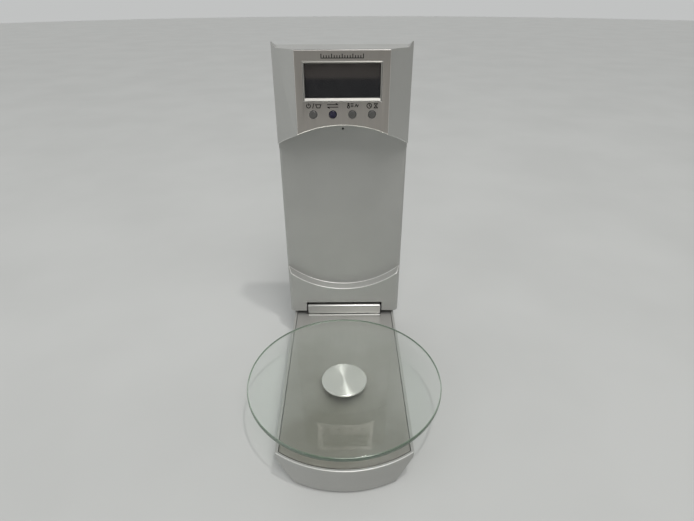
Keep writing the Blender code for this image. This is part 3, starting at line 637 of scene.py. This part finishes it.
def make_arch_beads(edge):
    """The thin bright line along the head's arch, on both wings, in a brighter copy of the paint: a
    painted highlight.
    """
    inner, outer, proud = FASCIA_HALF + 0.5, PANEL_HALF - 0.6, 0.25
    slope = (HEAD_EDGE_BACK - HEAD_FRONT) / (PANEL_HALF - FASCIA_HALF)
    bm = bmesh.new()
    for side in (-1, 1):
        path = []
        for i in range(9):
            across = inner + (outer - inner) * i / 8
            back = HEAD_FRONT + slope * (across - FASCIA_HALF)
            up = ARCH_CENTRE_UP + math.sqrt(ARCH_RADIUS**2 - across**2)
            path.append(at(side * across, back + proud, up + proud))
        bead(bm, path, 0.36 * MM, sides=10)
    show(bm, "arch_beads", [edge], "panel", sharp_from=60)


def fascia_edge_share(edge):
    """How round an edge of the fascia is: its top and its arched foot are the widest."""
    middle, along = middle_and_along(edge)
    if middle.y > FASCIA_FRONT + 0.3 * MM:
        return 0.1
    at_top = middle.z > low("lcd_bezel").z + 40 * MM
    at_foot = middle.z < low("tare_button").z - 2 * MM
    return 1.0 if (at_top or at_foot) and abs(along.z) < 0.7 else 0.3


def make_bezel():
    """A frame whose bars slope down into the window."""
    silver = silver_paint("bezel silver", (0.52, 0.51, 0.48), 0.4, 0.7)
    outer_low, outer_high = low("lcd_bezel"), high("lcd_bezel")
    front, back = outer_low.y, outer_high.y
    inner = low("lcd_window").x - 0.3 * MM
    inner_low, inner_high = low("lcd_window").z - 0.3 * MM, high("lcd_window").z + 0.3 * MM
    sill_low, sill_high = outer_low.z + 0.3 * MM, outer_high.z - 0.25 * MM
    rows = [  # each ring's side, bottom, top and depth
        (outer_low.x, outer_low.z, outer_high.z, back),
        (outer_low.x, outer_low.z, outer_high.z, front + 0.25 * MM),
        (outer_low.x + 0.15 * MM, sill_low, sill_high, front),
        (inner - 0.1 * MM, sill_low + 0.02 * MM, sill_high - 0.02 * MM, front + 0.01 * MM),
        (inner, inner_low - 0.15 * MM, inner_high + 0.1 * MM, front + 0.9 * MM),
        (inner + 0.01 * MM, inner_low, inner_high, front + 1.1 * MM),
        (inner + 0.01 * MM, inner_low, inner_high, back),
    ]
    bm = bmesh.new()
    rings = []
    for side, bottom, top, depth in rows:
        corners = ((side, bottom), (-side, bottom), (-side, top), (side, top))
        rings.append([bm.verts.new((x, depth, z)) for x, z in corners])
    join_rings(bm, [*rings, rings[0]])
    bmesh.ops.recalc_face_normals(bm, faces=bm.faces)
    show_node(bm, "lcd_bezel", silver, sharp_from=12.0)


def ribbon(bm, points, width, closed=False):
    """A thin printed stroke on the fascia, through points across and up."""
    front = FASCIA_FRONT - 0.03 * MM
    count = len(points)
    for i in range(count if closed else count - 1):
        start, end = Vector(points[i]), Vector(points[(i + 1) % count])
        along = (end - start).normalized() * width / 2
        side = Vector((-along.y, along.x))
        start, end = start - along * 0.6, end + along * 0.6
        corners = (start - side, end - side, end + side, start + side)
        rings = []
        for depth in (front, front + 0.1 * MM):
            rings.append([bm.verts.new((corner.x, depth, corner.y)) for corner in corners])
        join_rings(bm, rings)
        bm.faces.new(rings[0])
        bm.faces.new(rings[1])


def ring(middle, radius, count, start=0.0, sweep=360.0):
    """Points around a middle. The radius is in millimetres, and the angles are in degrees."""
    points = []
    for i in range(count):
        angle = math.radians(start + sweep * i / count)
        points.append(
            Vector((middle.x + radius * MM * math.cos(angle), middle.y + radius * MM * math.sin(angle)))
        )
    return points


def offset(icon, *pairs):
    """Points from pairs of millimetres across and up from an icon's middle."""
    return [icon + Vector(pair) * MM for pair in pairs]


# Each icon is a list of strokes: their points, and whether a stroke closes on itself.


def zero_icon(icon):
    """An open ring with a bar beside an empty pan: on, and set to zero."""
    power = icon + Vector((-3.4, 0.0)) * MM
    return [
        (ring(power, 1.45, 16, 130.0, 300.0), False),
        (offset(power, (0, 0.3), (0, 1.7)), False),
        (offset(icon, (-0.3, -1.6), (0.6, 1.6)), False),
        (offset(icon, (2.2, 0.6), (2.9, -1.4), (5.1, -1.4), (5.8, 0.6)), False),
        (offset(icon, (1.8, 0.9), (6.2, 0.9)), False),
    ]


def unit_icon(icon):
    """Two arrows that point opposite ways."""
    return [
        (offset(icon, (-4.0, 0.9), (3.8, 0.9)), False),
        (offset(icon, (2.4, 1.8), (3.9, 0.9)), False),
        (offset(icon, (4.0, -0.9), (-3.8, -0.9)), False),
        (offset(icon, (-2.4, -1.8), (-3.9, -0.9)), False),
    ]


def thermometer_icon(icon):
    """A stem on a bulb, with three ticks, beside a rising and falling line."""
    bulb = icon + Vector((-3.0, -0.8)) * MM
    ticks = [(offset(icon, (-1.2, up), (0.6, up)), False) for up in (-0.6, 0.5, 1.6)]
    stem = offset(icon, (-3.4, -0.2), (-3.4, 1.8), (-2.6, 1.8), (-2.6, -0.2))
    wave = offset(icon, (1.8, -0.8), (2.8, 1.2), (3.6, -0.8), (4.4, 0.8))
    return [(ring(bulb, 0.85, 12), True), (stem, False), (wave, False), *ticks]


def clock_icon(icon):
    """A round face with two hands, beside an hourglass."""
    face = icon + Vector((-2.2, 0.0)) * MM
    glass = offset(icon, (1.4, 1.6), (4.0, 1.6), (1.4, -1.6), (4.0, -1.6))
    hands = offset(face, (0, 1.1), (0, 0), (0.9, -0.5))
    return [(ring(face, 1.75, 20), True), (hands, False), (glass, True)]


ICONS = (zero_icon, unit_icon, thermometer_icon, clock_icon)
TICK_FOOT, ICON_UP = 231.0, 197.7  # millimetres above the deck
TICK_COUNT, TICK_PITCH = 17, 1.9 * MM
TALL_TICK, SHORT_TICK = 2.7, 1.6
TICK_WIDTH, SCALE_WIDTH, ICON_WIDTH = 0.68 * MM, 0.55 * MM, 0.62 * MM


def make_prints(ink):
    """Plain tick marks above the display and a plain pictogram above each button."""
    bm = bmesh.new()
    foot = DECK_TOP + TICK_FOOT * MM
    for i in range(TICK_COUNT):
        x = (i - (TICK_COUNT - 1) / 2) * TICK_PITCH
        tall = TALL_TICK if i % 4 == 0 else SHORT_TICK
        ribbon(bm, [(x, foot), (x, foot + tall * MM)], TICK_WIDTH)
    half = (TICK_COUNT - 1) / 2 * TICK_PITCH
    ribbon(bm, [(-half, foot), (half, foot)], SCALE_WIDTH)
    for name, icon in zip(BUTTONS, ICONS):
        middle = Vector((centre(name).x, DECK_TOP + ICON_UP * MM))
        for points, closed in icon(middle):
            ribbon(bm, points, ICON_WIDTH, closed)
    bmesh.ops.recalc_face_normals(bm, faces=bm.faces)
    show(bm, "printed_marks", [ink], "panel")


def make_buttons():
    """Round caps with a shallow dish, each with a collar behind the fascia and a stem."""
    grey = moulded_plastic("button grey", (0.095, 0.094, 0.088), 0.32, 3000.0, 0.006 * MM)
    black = moulded_plastic("button black", (0.016, 0.014, 0.04), 0.3, 3000.0, 0.006 * MM)
    collar, stem = 3.8 * MM, 1.5 * MM
    for name in BUTTONS:
        front, back = low(name).y, high(name).y
        cap, material = (2.5 * MM, black) if name == "unit_button" else (2.8 * MM, grey)
        profile = [
            (front + 0.25 * MM, 0.05 * MM), (front + 0.2 * MM, cap * 0.45),
            (front + 0.02 * MM, cap - 0.45 * MM), (front + 0.35 * MM, cap),
            (back - 1.75 * MM, cap), (back - 1.7 * MM, collar),
            (back - 0.9 * MM, collar), (back - 0.89 * MM, stem), (back, stem),
        ]
        turned_piece(name, profile, 1, material, 0.15 * MM, 64)


# ---------------------------------------------------------------- screws


def make_screw(node, axis, toward, steel):
    """A pan head with a cross recess. toward is 1 or -1, the way that the head faces."""
    lowest, highest = low(node), high(node)
    top = (highest if toward > 0 else lowest)[axis]
    tip = (lowest if toward > 0 else highest)[axis]
    arms = ((axis + 1) % 3, (axis + 2) % 3)
    head = max(highest[arm] - lowest[arm] for arm in arms) / 2
    thick, shank = 0.95 * MM, head * 0.5
    pitch, point = 0.9 * MM, 1.2 * MM
    profile = [(tip, shank * 0.4), (tip + toward * point, shank)]
    turns = int(abs(top - tip) / pitch) - 3
    for i in range(turns):
        place = point + pitch * i
        profile.append((tip + toward * (place + pitch / 2), shank * 0.8))
        profile.append((tip + toward * (place + pitch), shank))
    profile += [
        (top - toward * thick, shank), (top - toward * (thick - 0.01 * MM), head),
        (top - toward * 0.35 * MM, head), (top - toward * 0.1 * MM, head * 0.8), (top, head * 0.45),
    ]
    piece = show_node(turned(profile, centre(node), axis, 32), node, steel)
    middle = centre(node)
    middle[axis] = top
    for arm in arms:
        half = Vector((0.28 * MM,) * 3)
        half[arm], half[axis] = head * 0.55, 0.6 * MM
        groove = bmesh.new()
        add_box(groove, middle - half, middle + half)
        combine(piece, groove)
    smooth(piece, 35)


def make_screws():
    """The cover's and the base's four screws, and two at each end of the load cell."""
    steel = plain_steel("screw steel", (0.5, 0.49, 0.47), 0.3)
    for number in range(1, 5):
        make_screw(f"cover_screw_{number}", 1, 1, steel)
        make_screw(f"base_screw_{number}", 2, -1, steel)
    for number in (1, 2):
        make_screw(f"load_cell_screw_{number}", 2, -1, steel)
        make_screw(f"bracket_screw_{number}", 2, 1, steel)


# ---------------------------------------------------------------- back of the panel


def make_battery_door(paint):
    """The door with a row of grip grooves near its free edge."""
    piece = show_node(clean_copy("battery_door"), "battery_door", paint)
    back, bottom = high("battery_door").y, low("battery_door").z
    depth, half_wide = 0.45 * MM, 0.3 * MM
    grooves = bmesh.new()
    for i in range(5):
        up = bottom + (2.4 + 1.3 * i) * MM
        half = (9.0 - 1.2 * i) * MM
        add_box(grooves, (-half, back - depth, up - half_wide), (half, back + MM, up + half_wide))
    combine(piece, grooves)
    bevel = piece.modifiers.new("rounded edges", "BEVEL")
    bevel.width, bevel.segments, bevel.limit_method = 0.2 * MM, 3, "ANGLE"
    bevel.harden_normals = True
    piece.data.shade_smooth()


# ---------------------------------------------------------------- base


BASE_ROUNDING = 3.0 * MM
BASE_FOOT = 3 * MM  # edges below this height are the tray's lower edges


def base_edge_share(edge):
    """How round an edge of the tray is, as a share of BASE_ROUNDING."""
    middle, along = middle_and_along(edge)
    inside = abs(middle.x) < -low("deck_plate").x and middle.z > BASE_FOOT
    if middle.z > DECK_TOP - 0.5 * MM:
        at_front = middle.y < low("deck_plate").y + 12 * MM
        return 0.38 if at_front else 0.05
    if abs(along.z) > 0.6 and not inside:
        return 0.8 if middle.y > 0 else 0.35
    if middle.z < BASE_FOOT and abs(middle.x) > 30 * MM:
        return 0.4
    return 0.12


def arc_points(middle, radius, start, end, count):
    """Points along an arc in the plane of Y and Z; angles in degrees, 0 is +Y and 90 is +Z."""
    angles = [math.radians(start + (end - start) * i / (count - 1)) for i in range(count)]
    return [(middle[0] + radius * math.cos(a), middle[1] + radius * math.sin(a)) for a in angles]


def extruded(outline, low_x, high_x):
    """A bmesh from an outline of (y, z), drawn out along X."""
    bm = bmesh.new()
    rings = [[bm.verts.new((x, y, z)) for y, z in outline] for x in (low_x, high_x)]
    join_rings(bm, rings)
    bm.faces.new(rings[0])
    bm.faces.new(rings[1])
    bmesh.ops.recalc_face_normals(bm, faces=bm.faces)
    return bm


APRON_RADIUS, APRON_HALF = 83.0, 47.0  # millimetres: the arc of the base's front


def make_crest_bead(edge):
    """The bright rounded crest along the base's curved front, in a lighter copy of the paint: a painted
    highlight.
    """
    radius, sink = APRON_RADIUS - 0.68, 0.5
    middle = low("base_housing").y + APRON_RADIUS * MM
    path = []
    for i in range(41):
        across = APRON_HALF * (2 * i / 40 - 1)
        back = math.sqrt(radius**2 - across**2)
        path.append(Vector((across * MM, middle - back * MM, DECK_TOP - sink * MM)))
    bm = bmesh.new()
    bead(bm, path, 0.62 * MM)
    show(bm, "crest_bead", [edge], "base", sharp_from=60)


BARREL_RADIUS = 4.2 * MM
BROW_RADIUS = 2.0 * MM
BARREL_SLOPE = 48  # degrees: where the barrel's arc and the brow's meet their common tangent
BARREL_ROUNDING = 0.35 * MM
PIN_BORE = 1.8 * MM
LEAD_BORE, LEAD_BORE_HALF = 3.0 * MM, 21 * MM
LEG_NEAR, LEG_FAR = 24, 33  # millimetres from the middle
SKIRT_FRONT, SKIRT_BACK = -4.2, -1.5  # at()'s millimetres
SKIRT_LOW, SKIRT_TOP = -1.0, 0.4


def round_edges(bm, edges):
    """Rounds some of the barrel's edges in the mesh itself, before its Booleans."""
    bmesh.ops.bevel(bm, geom=edges, offset=BARREL_ROUNDING, segments=3, profile=0.5, affect="EDGES")


def make_barrel(paint, edge, bead_highlight):
    """The hinge barrel: a flat front under a rounded brow, with its skirt, legs and bores."""
    lowest, highest = low("hinge_barrel"), high("hinge_barrel")
    end = highest.x
    axis = (HINGE.y, HINGE.z)
    brow = (axis[0] - BARREL_RADIUS + BROW_RADIUS, highest.z - BROW_RADIUS)
    outline = arc_points(axis, BARREL_RADIUS, 180, 360 + BARREL_SLOPE, 56)
    outline += arc_points(brow, BROW_RADIUS, BARREL_SLOPE, 180, 32)
    bm = extruded(outline, -end, end)
    round_edges(bm, [e for f in bm.faces if len(f.verts) > 4 for e in f.edges])
    piece = show_node(bm, "hinge_barrel", paint, edge)

    skirt = bmesh.new()
    half = end / MM
    add_box(skirt, at(-half, SKIRT_FRONT, SKIRT_LOW), at(half, SKIRT_BACK, SKIRT_TOP))
    # The skirt takes the brighter copy of the paint: a painted highlight along the barrel's foot.
    for face in skirt.faces:
        face.material_index = 1
    top_front = []
    for e in skirt.edges:
        if all(v.co.y < LIP_FRONT - 4 * MM and v.co.z > DECK_TOP for v in e.verts):
            top_front.append(e)
    round_edges(skirt, top_front)
    combine(piece, skirt, "UNION")
    for side in (-1, 1):
        near, far = sorted((side * LEG_NEAR, side * LEG_FAR))
        leg = bmesh.new()
        add_box(leg, Vector((near * MM, LIP_FRONT - 3 * MM, lowest.z)), at(far, 4.6, 1.0))
        combine(piece, leg, "UNION")

    combine(piece, turned([(-end - MM, PIN_BORE), (end + MM, PIN_BORE)], HINGE, 0, 32))
    combine(piece, turned([(-LEAD_BORE_HALF, LEAD_BORE), (LEAD_BORE_HALF, LEAD_BORE)], HINGE, 0, 32))
    slot = [axis, *arc_points(axis, 8 * MM, -109, 43, 12)]  # open to the panel's lead as it turns
    combine(piece, extruded(slot, 6.2 * MM, 11.8 * MM))
    hole = bmesh.new()  # for the base's lead, from below
    add_box(hole, at(-11, -1.0, -3), at(-7, 2.6, 4.3))
    combine(piece, hole)
    smooth(piece, 35)

    # The bead along the barrel's foot is in a lighter copy of the paint: a painted highlight.
    foot = bmesh.new()
    reach = half - 0.3
    bead(foot, [at(-reach, -3.8, 0.3), at(reach, -3.8, 0.3)], 0.42 * MM)
    show(foot, "barrel_bead", [bead_highlight], "base", sharp_from=60)


def make_feet():
    """Rubber feet with a shallow cup underneath."""
    soft = rubber("foot rubber")
    radius, cup = 5.5 * MM, 0.5 * MM
    for number in range(1, 5):
        node = f"foot_{number}"
        bottom, top = low(node).z, high(node).z
        profile = [
            (bottom + cup, 0.3 * MM), (bottom + cup, 3.0 * MM), (bottom, 3.4 * MM),
            (bottom, 4.7 * MM), (bottom + 0.8 * MM, radius), (top, radius),
        ]
        turned_piece(node, profile, 2, soft, 0.3 * MM, 64)


# ---------------------------------------------------------------- platter


CAP = 1 * MM  # a turned profile starts and ends on a ring of this radius, which a flat face fills


def heights_and_radius(node):
    """A round node's bottom, top and radius."""
    lowest, highest = low(node), high(node)
    return lowest.z, highest.z, (highest.x - lowest.x) / 2


def make_glass():
    """The round plate: clear faces and a ground rim."""
    bottom, top, radius = heights_and_radius("glass_plate")
    grind, shoulder = 0.9 * MM, 0.35 * MM
    profile = [
        (bottom, CAP), (bottom, radius - grind), (bottom + shoulder, radius - shoulder),
        (bottom + grind, radius), (top - grind, radius),
        (top - shoulder, radius - shoulder), (top, radius - grind), (top, CAP),
    ]
    glass = turned_piece("glass_plate", profile, 2, clear_glass("platter glass"), 0.4 * MM, 256)
    glass.data.materials.append(ground_rim("ground rim"))
    for face in glass.data.polygons:
        face.material_index = 0 if abs(face.normal.z) > 0.95 else 1


def make_disc():
    """The spun disc under the glass."""
    bottom, top, radius = heights_and_radius("platter_disc")
    under, over = 0.4 * MM, 0.5 * MM
    profile = [
        (bottom, CAP), (bottom, radius - under), (bottom + under, radius),
        (top - over, radius), (top, radius - over), (top, CAP),
    ]
    turned_piece("platter_disc", profile, 2, spun_aluminium("spun disc"), 0.2 * MM, 160)


def make_hub():
    """The post through the deck, with the flange that the disc rests on."""
    bottom, top = low("platter_hub").z, high("platter_hub").z
    neck, flange = 8.5 * MM, 13.2 * MM
    profile = [
        (bottom, CAP), (bottom, neck), (DECK_TOP + 1.2 * MM, neck),
        (DECK_TOP + 2.0 * MM, flange - 0.6 * MM), (DECK_TOP + 3.2 * MM, flange),
        (top, flange), (top, CAP),
    ]
    # Near-black is the hub's own colour, and it also paints in part of the dark band of shade under the
    # disc's front edge.
    black = moulded_plastic("hub black", (0.03, 0.03, 0.032), 0.4)
    turned_piece("platter_hub", profile, 2, black, 0.3 * MM, 96)


# ---------------------------------------------------------------- inner pieces


def make_inner_pieces():
    """Pieces under the covers: rounded, and each with its own finish."""
    chip = moulded_plastic("chip epoxy", (0.015, 0.015, 0.016), 0.25)
    black = moulded_plastic("switch black", (0.03, 0.03, 0.032), 0.4)
    steel = plain_steel("plated steel")
    dark_steel = plain_steel("blackened steel", (0.05, 0.05, 0.052), 0.42)
    lead = moulded_plastic("lead sheath", (0.16, 0.16, 0.165), 0.55, 2400.0)
    milled = brushed_metal("milled aluminium", (0.72, 0.72, 0.73), 1, 0.3)
    pad = rubber("pad rubber")
    plans = {  # each node's material and the width of its rounding in millimetres
        "lcd_cell": (lcd_dark("lcd dark"), 0.1),
        "lcd_window": (window_plastic("window clear"), 0.1),
        "zebra_strip": (rubber("zebra rubber", (0.12, 0.12, 0.13)), 0.2),
        "main_board": (circuit_board("board green"), 0.1),
        "controller_chip": (chip, 0.2),
        "clock_crystal": (steel, 0.2),
        "buzzer": (black, 0.3),
        "temperature_probe": (chip, 0.1),
        "battery_contact_left": (steel, 0.1),
        "battery_contact_right": (steel, 0.1),
        "hinge_bracket_left": (dark_steel, 0.15),
        "hinge_bracket_right": (dark_steel, 0.15),
        "hinge_pin_left": (steel, 0.2),
        "hinge_pin_right": (steel, 0.2),
        "stop_pad_left": (pad, 0.4),
        "stop_pad_right": (pad, 0.4),
        "load_cell": (milled, 0.3),
        "platter_bracket": (milled, 0.2),
        "deck_frame": (silver_paint("deck plastic", (0.3, 0.3, 0.29), 0.5, 0.3), 0.2),
    }
    plans.update({f"tact_switch_{i}": (black, 0.15) for i in range(1, 5)})
    for node, (material, width) in plans.items():
        rounded(node, width * MM, material, segments=2)
    for node in ("cell_lead", "panel_lead"):
        frame["nodes"][node].data.materials.clear()
        frame["nodes"][node].data.materials.append(lead)
    for node in ("battery_1", "battery_2"):
        rounded(node, 0.15 * MM, battery_sleeve(node + " sleeve", node), segments=2)


# ---------------------------------------------------------------- stage


def make_stage():
    """A plain pale floor under the scale."""
    finish = Finish("floor", roughness=0.55)
    finish.coloured(finish.noise(6.0, 3.0), (0.555, 0.563, 0.553), (0.585, 0.593, 0.583))
    bm = bmesh.new()
    bmesh.ops.create_circle(bm, cap_ends=True, segments=96, radius=6.0)
    floor = new_object("floor", bm)
    floor.data.materials.append(finish.material)


def new_light(name, kind, power, colour):
    """A lamp's object. Its power is in watts, or for a sun in watts per square metre."""
    light = bpy.data.lights.new(name, kind)
    light.energy = power
    light.color = colour
    lamp = bpy.data.objects.new(name, light)
    bpy.context.scene.collection.objects.link(lamp)
    return lamp


def area_light(name, place, target, size, power, colour):
    """A round lamp that faces a target."""
    lamp = new_light(name, "AREA", power, colour)
    lamp.data.shape = "DISK"
    lamp.data.size = size
    lamp.location = place
    lamp.rotation_mode = "QUATERNION"
    lamp.rotation_quaternion = (Vector(target) - Vector(place)).to_track_quat("-Z", "Y")


def make_lights():
    """A small bright lamp for the highlights, a pale window and a wide soft ceiling."""
    area_light("ceiling_lamp", (0.27, -0.25, 1.6), (0.0, 0.0, 0.1), 0.07, 4.5, (1.0, 0.985, 0.96))
    area_light("window_fill", (-1.35, -0.85, 0.45), (0.0, 0.0, 0.05), 1.3, 4.2, (0.97, 0.985, 1.0))
    ceiling = new_light("soft_ceiling", "SUN", 1.38, (1.0, 0.99, 0.975))
    ceiling.data.angle = math.radians(32)
    ceiling.rotation_euler = (math.radians(29.5), math.radians(9), 0.0)


def make_world():
    """A room that is brightest ahead, behind the scale, and dark behind the camera."""
    world = bpy.data.worlds.new("studio")
    world.use_nodes = True
    tree = world.node_tree
    background = tree.nodes["Background"]
    toward = new_node(tree, "TexCoord").outputs["Generated"]
    bright_way = (-0.3, 1.0, 0.0)
    wall = new_node(tree, "VectorMath", {0: toward, 1: bright_way}, operation="DOT_PRODUCT")
    dark_at, bright_at, dark, bright = -0.7, 0.5, 0.12, 0.55
    inputs = {0: wall.outputs["Value"], 1: dark_at, 2: bright_at, 3: dark, 4: bright}
    level = new_node(tree, "MapRange", inputs).outputs[0]
    background.inputs["Color"].default_value = (0.97, 0.985, 0.98, 1.0)
    tree.links.new(level, background.inputs["Strength"])
    bpy.context.scene.world = world
    bpy.context.scene.view_settings.view_transform = "Standard"


CAMERA_PLACE = (1.36 * MM, -302.85 * MM, 299.1 * MM)
CAMERA_DOWN = 0.520  # radians below the horizon
CAMERA_TURN = 0.004  # radians towards +X
CAMERA_ROLL = -0.004  # radians
CAMERA_LENS = 24.785  # millimetres, for a sensor 36 wide


def make_camera():
    data = bpy.data.cameras.new("camera")
    data.lens = CAMERA_LENS
    data.sensor_width = 36.0
    data.sensor_fit = "HORIZONTAL"
    data.clip_start = 0.01
    camera = bpy.data.objects.new("camera", data)
    turn = Matrix.Rotation(-CAMERA_TURN, 4, "Z")
    tilt = Matrix.Rotation(math.pi / 2 - CAMERA_DOWN, 4, "X")
    roll = Matrix.Rotation(CAMERA_ROLL, 4, "Z")
    camera.matrix_world = Matrix.Translation(CAMERA_PLACE) @ turn @ tilt @ roll
    bpy.context.scene.collection.objects.link(camera)
    bpy.context.scene.camera = camera


# ---------------------------------------------------------------- the whole object


def main():
    make_camera()
    make_stage()
    make_lights()
    make_world()
    paint = silver_paint("panel silver")
    # A brighter copy of the paint for rounded edges: painted highlight.
    edge = highlight_silver("highlight silver")
    # A lighter, more diffuse copy of the paint for the beads: painted highlight.
    bead_highlight = silver_paint("bead highlight silver", (0.85, 0.85, 0.83), 0.38, 0.6)
    rear = silver_paint("rear silver", (0.3, 0.305, 0.3), 0.5, 0.5)
    rounded("panel_housing", PANEL_ROUNDING, paint, edge, panel_edge_share)
    make_ledge_bead(bead_highlight)
    make_arch_beads(edge)
    fascia = brushed_metal("fascia metal", (0.44, 0.413, 0.383), 2, 0.36)
    # A brighter copy of the paint for the fascia's widest rounded edges: painted highlight.
    fascia_highlight = highlight_silver("fascia highlight", (0.8, 0.78, 0.75))
    rounded("display_fascia", 0.9 * MM, fascia, fascia_highlight, fascia_edge_share)
    make_bezel()
    make_prints(printed_ink("printed ink"))
    make_buttons()
    rounded("rear_cover", 0.5 * MM, rear, edge)
    make_battery_door(rear)
    rounded("base_housing", BASE_ROUNDING, paint, edge, base_edge_share)
    make_crest_bead(bead_highlight)
    rounded("deck_plate", 0.1 * MM, deck_metal("deck metal", (0.468, 0.462, 0.444)))
    # A lighter, glossier copy of the silver paint, which paints in part of the barrel's highlight.
    barrel = silver_paint("barrel silver", (0.58, 0.58, 0.56), 0.34, 0.8)
    make_barrel(barrel, edge, bead_highlight)
    make_feet()
    make_glass()
    make_disc()
    make_hub()
    make_screws()
    make_inner_pieces()


main()
